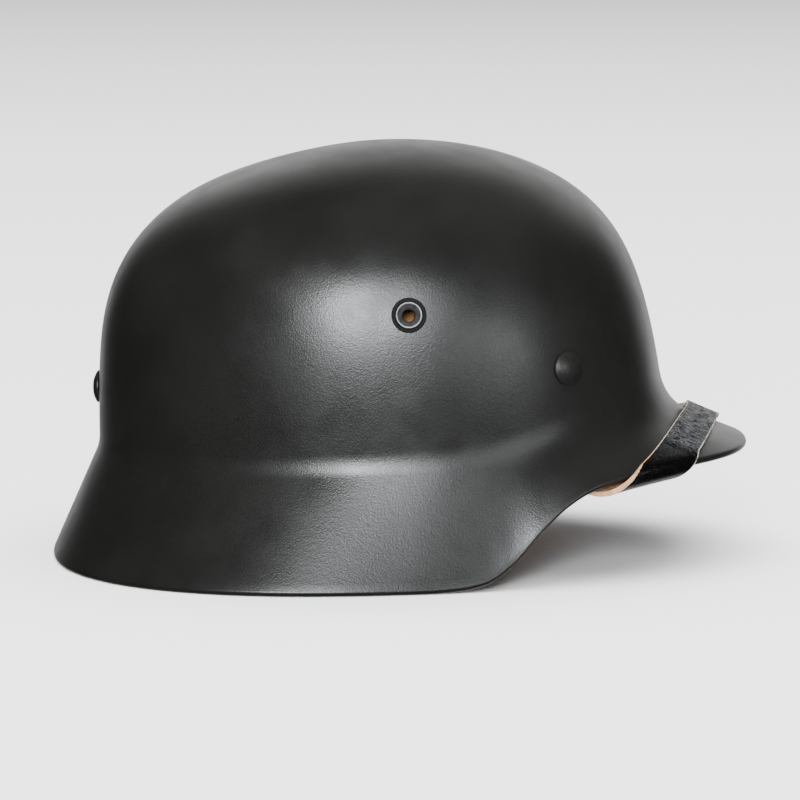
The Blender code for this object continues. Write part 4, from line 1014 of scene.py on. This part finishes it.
def tan_leather_look():
    """Undyed leather: cell-like grain, cloudy tone and darker handling marks."""
    look, tree, shader = new_look("tan_leather", 0.62, Specular_IOR_Level=0.35)
    place = object_place(tree)
    cloud = ramp(noise(place, 28, 5, 0.6), 0.3, 0.7)
    base = mix(cloud, (0.21, 0.088, 0.026), (0.34, 0.16, 0.056))
    marks = ramp(noise(place, 130, 6, 0.7), 0.56, 0.74, 0.0, 0.45)
    tree.links.new(mix(marks, base, (0.13, 0.052, 0.018)), shader.inputs["Base Color"])
    cells = node(tree, "TexVoronoi", {"Vector": place, "Scale": 900.0}, feature="DISTANCE_TO_EDGE")
    grain = ramp(cells.outputs["Distance"], 0.0, 0.25)
    relief = total(grain, product(noise(place, 300, 4), 1.2))
    bump(shader, relief, 0.35, 0.00018)
    return look


def strap_grain(lay, reach):
    """Black grain side: its colour, roughness and relief. It is creased over the visor, with dry grey
    streaks that also carry a painted sheen, glossy where it turns under the rim, and has a little painted
    grey sheen further in."""
    stretch = {"Vector": lay, "Scale": (1.0, 0.34, 1.0), "Rotation": (0, 0, 0.5)}
    stretched = node(lay.id_data, "Mapping", stretch).outputs["Vector"]
    creases = noise(stretched, 8, 3, 0.55)
    fine = noise(stretched, 34, 3, 0.6)
    pits = ramp(noise(lay, 11, 4, 0.6), 0.36, 0.46)
    # Over the visor: creased relief, and dry grey streaks in the colour that are partly a painted sheen.
    over_visor = ramp(reach, 6.4, 7.4, 1.0, 0.0)
    # Towards the lower end: a grey that is painted sheen, and a duller finish.
    lower_end_sheen = ramp(reach, 9.2, 11.0, 0.0, 0.45)
    streaks = product(pits, ramp(creases, 0.42, 0.56))
    # Grey in the colour: dry streaks with painted sheen over the visor, and painted sheen at the lower end.
    dry_grey_and_sheen = total(product(over_visor, streaks), product(lower_end_sheen, ramp(fine, 0.4, 0.65)))
    color = mix(dry_grey_and_sheen, (0.0012, 0.0012, 0.0013), (0.034, 0.036, 0.039))
    dull = maths("SUBTRACT", 0.42, product(streaks, 0.30))
    gloss = total(0.13, product(maths("MAXIMUM", over_visor, lower_end_sheen), dull))
    wrinkled = total(creases, product(pits, 0.5))
    relief = total(product(wrinkled, total(0.03, over_visor)), product(fine, 0.05))
    return color, gloss, relief


def strap_edge(lay, reach):
    """Cut edge: whitish fibres over the visor, tan leather where the strap turns under the rim."""
    pale = ramp(noise(lay, 30, 5, 0.75), 0.40, 0.62)
    fibres = mix(pale, (0.16, 0.13, 0.09), (0.58, 0.52, 0.43))
    cloud = ramp(noise(lay, 9, 5, 0.7), 0.35, 0.7)
    cut = mix(cloud, (0.36, 0.185, 0.10), (0.50, 0.30, 0.18))
    return mix(ramp(reach, 7.4, 8.6), fibres, cut)


def strap_flesh(lay, reach):
    """Flesh side in cloudy brown. The walls of the holes, whose layers hold zero, are painted dark as shade
    inside the holes.
    """
    cloud = ramp(noise(lay, 6, 5, 0.7), 0.3, 0.7)
    flesh = mix(cloud, (0.13, 0.065, 0.03), (0.25, 0.145, 0.075))
    # Painted shade: the walls of the holes are dark brown for the shade inside them.
    return mix(ramp(reach, 0.0, 0.004), (0.035, 0.021, 0.016), flesh)


def black_leather_look():
    """Dyed strap leather. Its layers say, in centimetres, how far along, across and up a point lies."""
    look, tree, shader = new_look("black_leather", 0.38, Specular_IOR_Level=0.5)
    lay = node(tree, "UVMap", uv_map="lay").outputs["UV"]
    depth = node(tree, "UVMap", uv_map="depth").outputs["UV"]
    height = node(tree, "SeparateXYZ", {0: depth}).outputs["X"]
    parts = node(tree, "SeparateXYZ", {0: lay})
    reach, across = (maths("ABSOLUTE", parts.outputs[axis]) for axis in ("X", "Y"))
    thick, half = STRAP_THICKNESS / MM / 10, STRAP_WIDTH / MM / 20
    fray = product(maths("SUBTRACT", noise(lay, 16, 5, 0.75), 0.5), 0.12)
    trimmed = ramp(total(across, fray), half - 0.048, half - 0.022, 1.0, 0.0)
    grain_side = product(ramp(height, thick * 0.93, thick * 0.99), trimmed)
    flesh_side = ramp(height, thick * 0.10, thick * 0.02)
    black, gloss, relief = strap_grain(lay, reach)
    flecks = product(ramp(noise(lay, 26, 3, 0.6), 0.70, 0.76, 0.0, 0.5), trimmed)
    black = mix(flecks, black, (0.20, 0.19, 0.17))
    brown = mix(flesh_side, strap_edge(lay, reach), strap_flesh(lay, reach))
    coat(shader, mix(grain_side, brown, black), mix(grain_side, (0.85, 0.85, 0.85), gloss))
    bump(shader, relief, 1.0, 0.0020)
    return look


def dress_nodes(look, *names):
    """Give carried-over solids a finish."""
    for name in names:
        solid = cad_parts[name]
        solid.data.materials.clear()
        solid.data.materials.append(look)


def aim(thing, place, target):
    """Put a camera or light at a place and turn it to a target."""
    thing.location = place
    thing.rotation_euler = (Vector(target) - Vector(place)).to_track_quat("-Z", "Y").to_euler()


def make_camera():
    """Camera at the photograph's angle, aimed a little above the rim."""
    data = bpy.data.cameras.new("camera")
    data.lens, data.sensor_width, data.sensor_fit = CAMERA_LENS, CAMERA_FILM, "HORIZONTAL"
    camera = new_object("camera", data)
    back = Vector((0, -math.cos(CAMERA_ELEVATION), math.sin(CAMERA_ELEVATION)))
    aim(camera, Vector(CAMERA_TARGET) + back * CAMERA_DISTANCE, CAMERA_TARGET)
    bpy.context.scene.camera = camera


def area_light(name, place, target, size, power, color):
    """Rectangular soft light, aimed at a target."""
    data = bpy.data.lights.new(name, "AREA")
    data.shape, data.size, data.size_y = "RECTANGLE", size[0], size[1]
    data.energy, data.color = power, color
    light = new_object(name, data)
    aim(light, place, target)
    return light


def make_floor():
    """Pale floor that the paint doesn't mirror."""
    bpy.ops.mesh.primitive_plane_add(size=FLOOR_SIZE)
    floor = bpy.context.object
    floor.name = "studio_floor"
    look, _, shader = new_look("floor", 0.9, Specular_IOR_Level=0.1)
    shader.inputs["Base Color"].default_value = (0.86, 0.86, 0.86, 1)
    floor.data.materials.append(look)
    floor.visible_glossy = False


def make_lights():
    """Three soft lights on the camera's side, and a wide one overhead that the paint doesn't mirror."""
    area_light("left_light", (-0.25, -2.3, 0.86), LIGHT_TARGET, (0.54, 0.74), 70, (0.955, 0.98, 1.0))
    area_light("right_light", (0.30, -2.3, 0.74), LIGHT_TARGET, (0.40, 0.62), 7, (0.92, 0.96, 1.0))
    area_light("far_right_light", (1.42, -1.95, 0.42), LIGHT_TARGET, (1.3, 0.30), 11, (0.96, 0.98, 1.0))
    overhead = area_light("overhead", (0, 0, 3.2), (0, 0, 0), (5.0, 5.0), 600, (1.0, 1.0, 1.0))
    overhead.visible_glossy = False


def make_surroundings():
    """White surroundings. As light they are dark but for a low glow behind, wider to the right."""
    world = bpy.data.worlds.new("studio")
    bpy.context.scene.world = world
    world.use_nodes = True
    tree = world.node_tree
    tree.nodes.clear()
    parts = node(tree, "SeparateXYZ", {0: node(tree, "TexCoord").outputs["Generated"]})
    x, y, z = (parts.outputs[axis] for axis in "XYZ")
    wide = product(ramp(x, 0.78, 0.45), ramp(x, -0.62, -0.12))
    behind = product(ramp(y, 0.0, 0.2), wide)
    low = ramp(z, 0.82, 0.45)
    glow = ramp(product(behind, low), 0, 1, 0.03, 1.15, False)
    light = node(tree, "Background", {"Color": (1, 1, 1, 1), "Strength": glow})
    plain = node(tree, "Background", {"Color": (1, 1, 1, 1), "Strength": 1.0})
    direct = node(tree, "LightPath").outputs["Is Camera Ray"]
    seen = node(tree, "MixShader", {0: direct, 1: light.outputs[0], 2: plain.outputs[0]})
    node(tree, "OutputWorld", {"Surface": seen.outputs[0]})


def main():
    """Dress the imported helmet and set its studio."""
    make_camera()
    make_floor()
    make_lights()
    make_surroundings()
    steel = steel_look("band_steel", 0.36, 0.42)
    shell = make_shell(paint_look("satin_paint", 0.31))
    make_bushings(shell, bushing_look())
    make_rivets(paint_look("rivet_paint", 0.36))
    make_outer_band(steel)
    make_leather(tan_leather_look())
    make_straps(black_leather_look())
    dress_nodes(steel, "liner_inner_band", "liner_spring_front", "liner_spring_side_right",
                "liner_spring_side_left", "liner_spring_nape_right", "liner_spring_nape_left")
    dress_nodes(steel_look("wire_steel", 0.42, 0.34), "strap_lug_right", "strap_lug_left",
                "strap_bail_right", "strap_bail_left", "strap_buckle")


main()
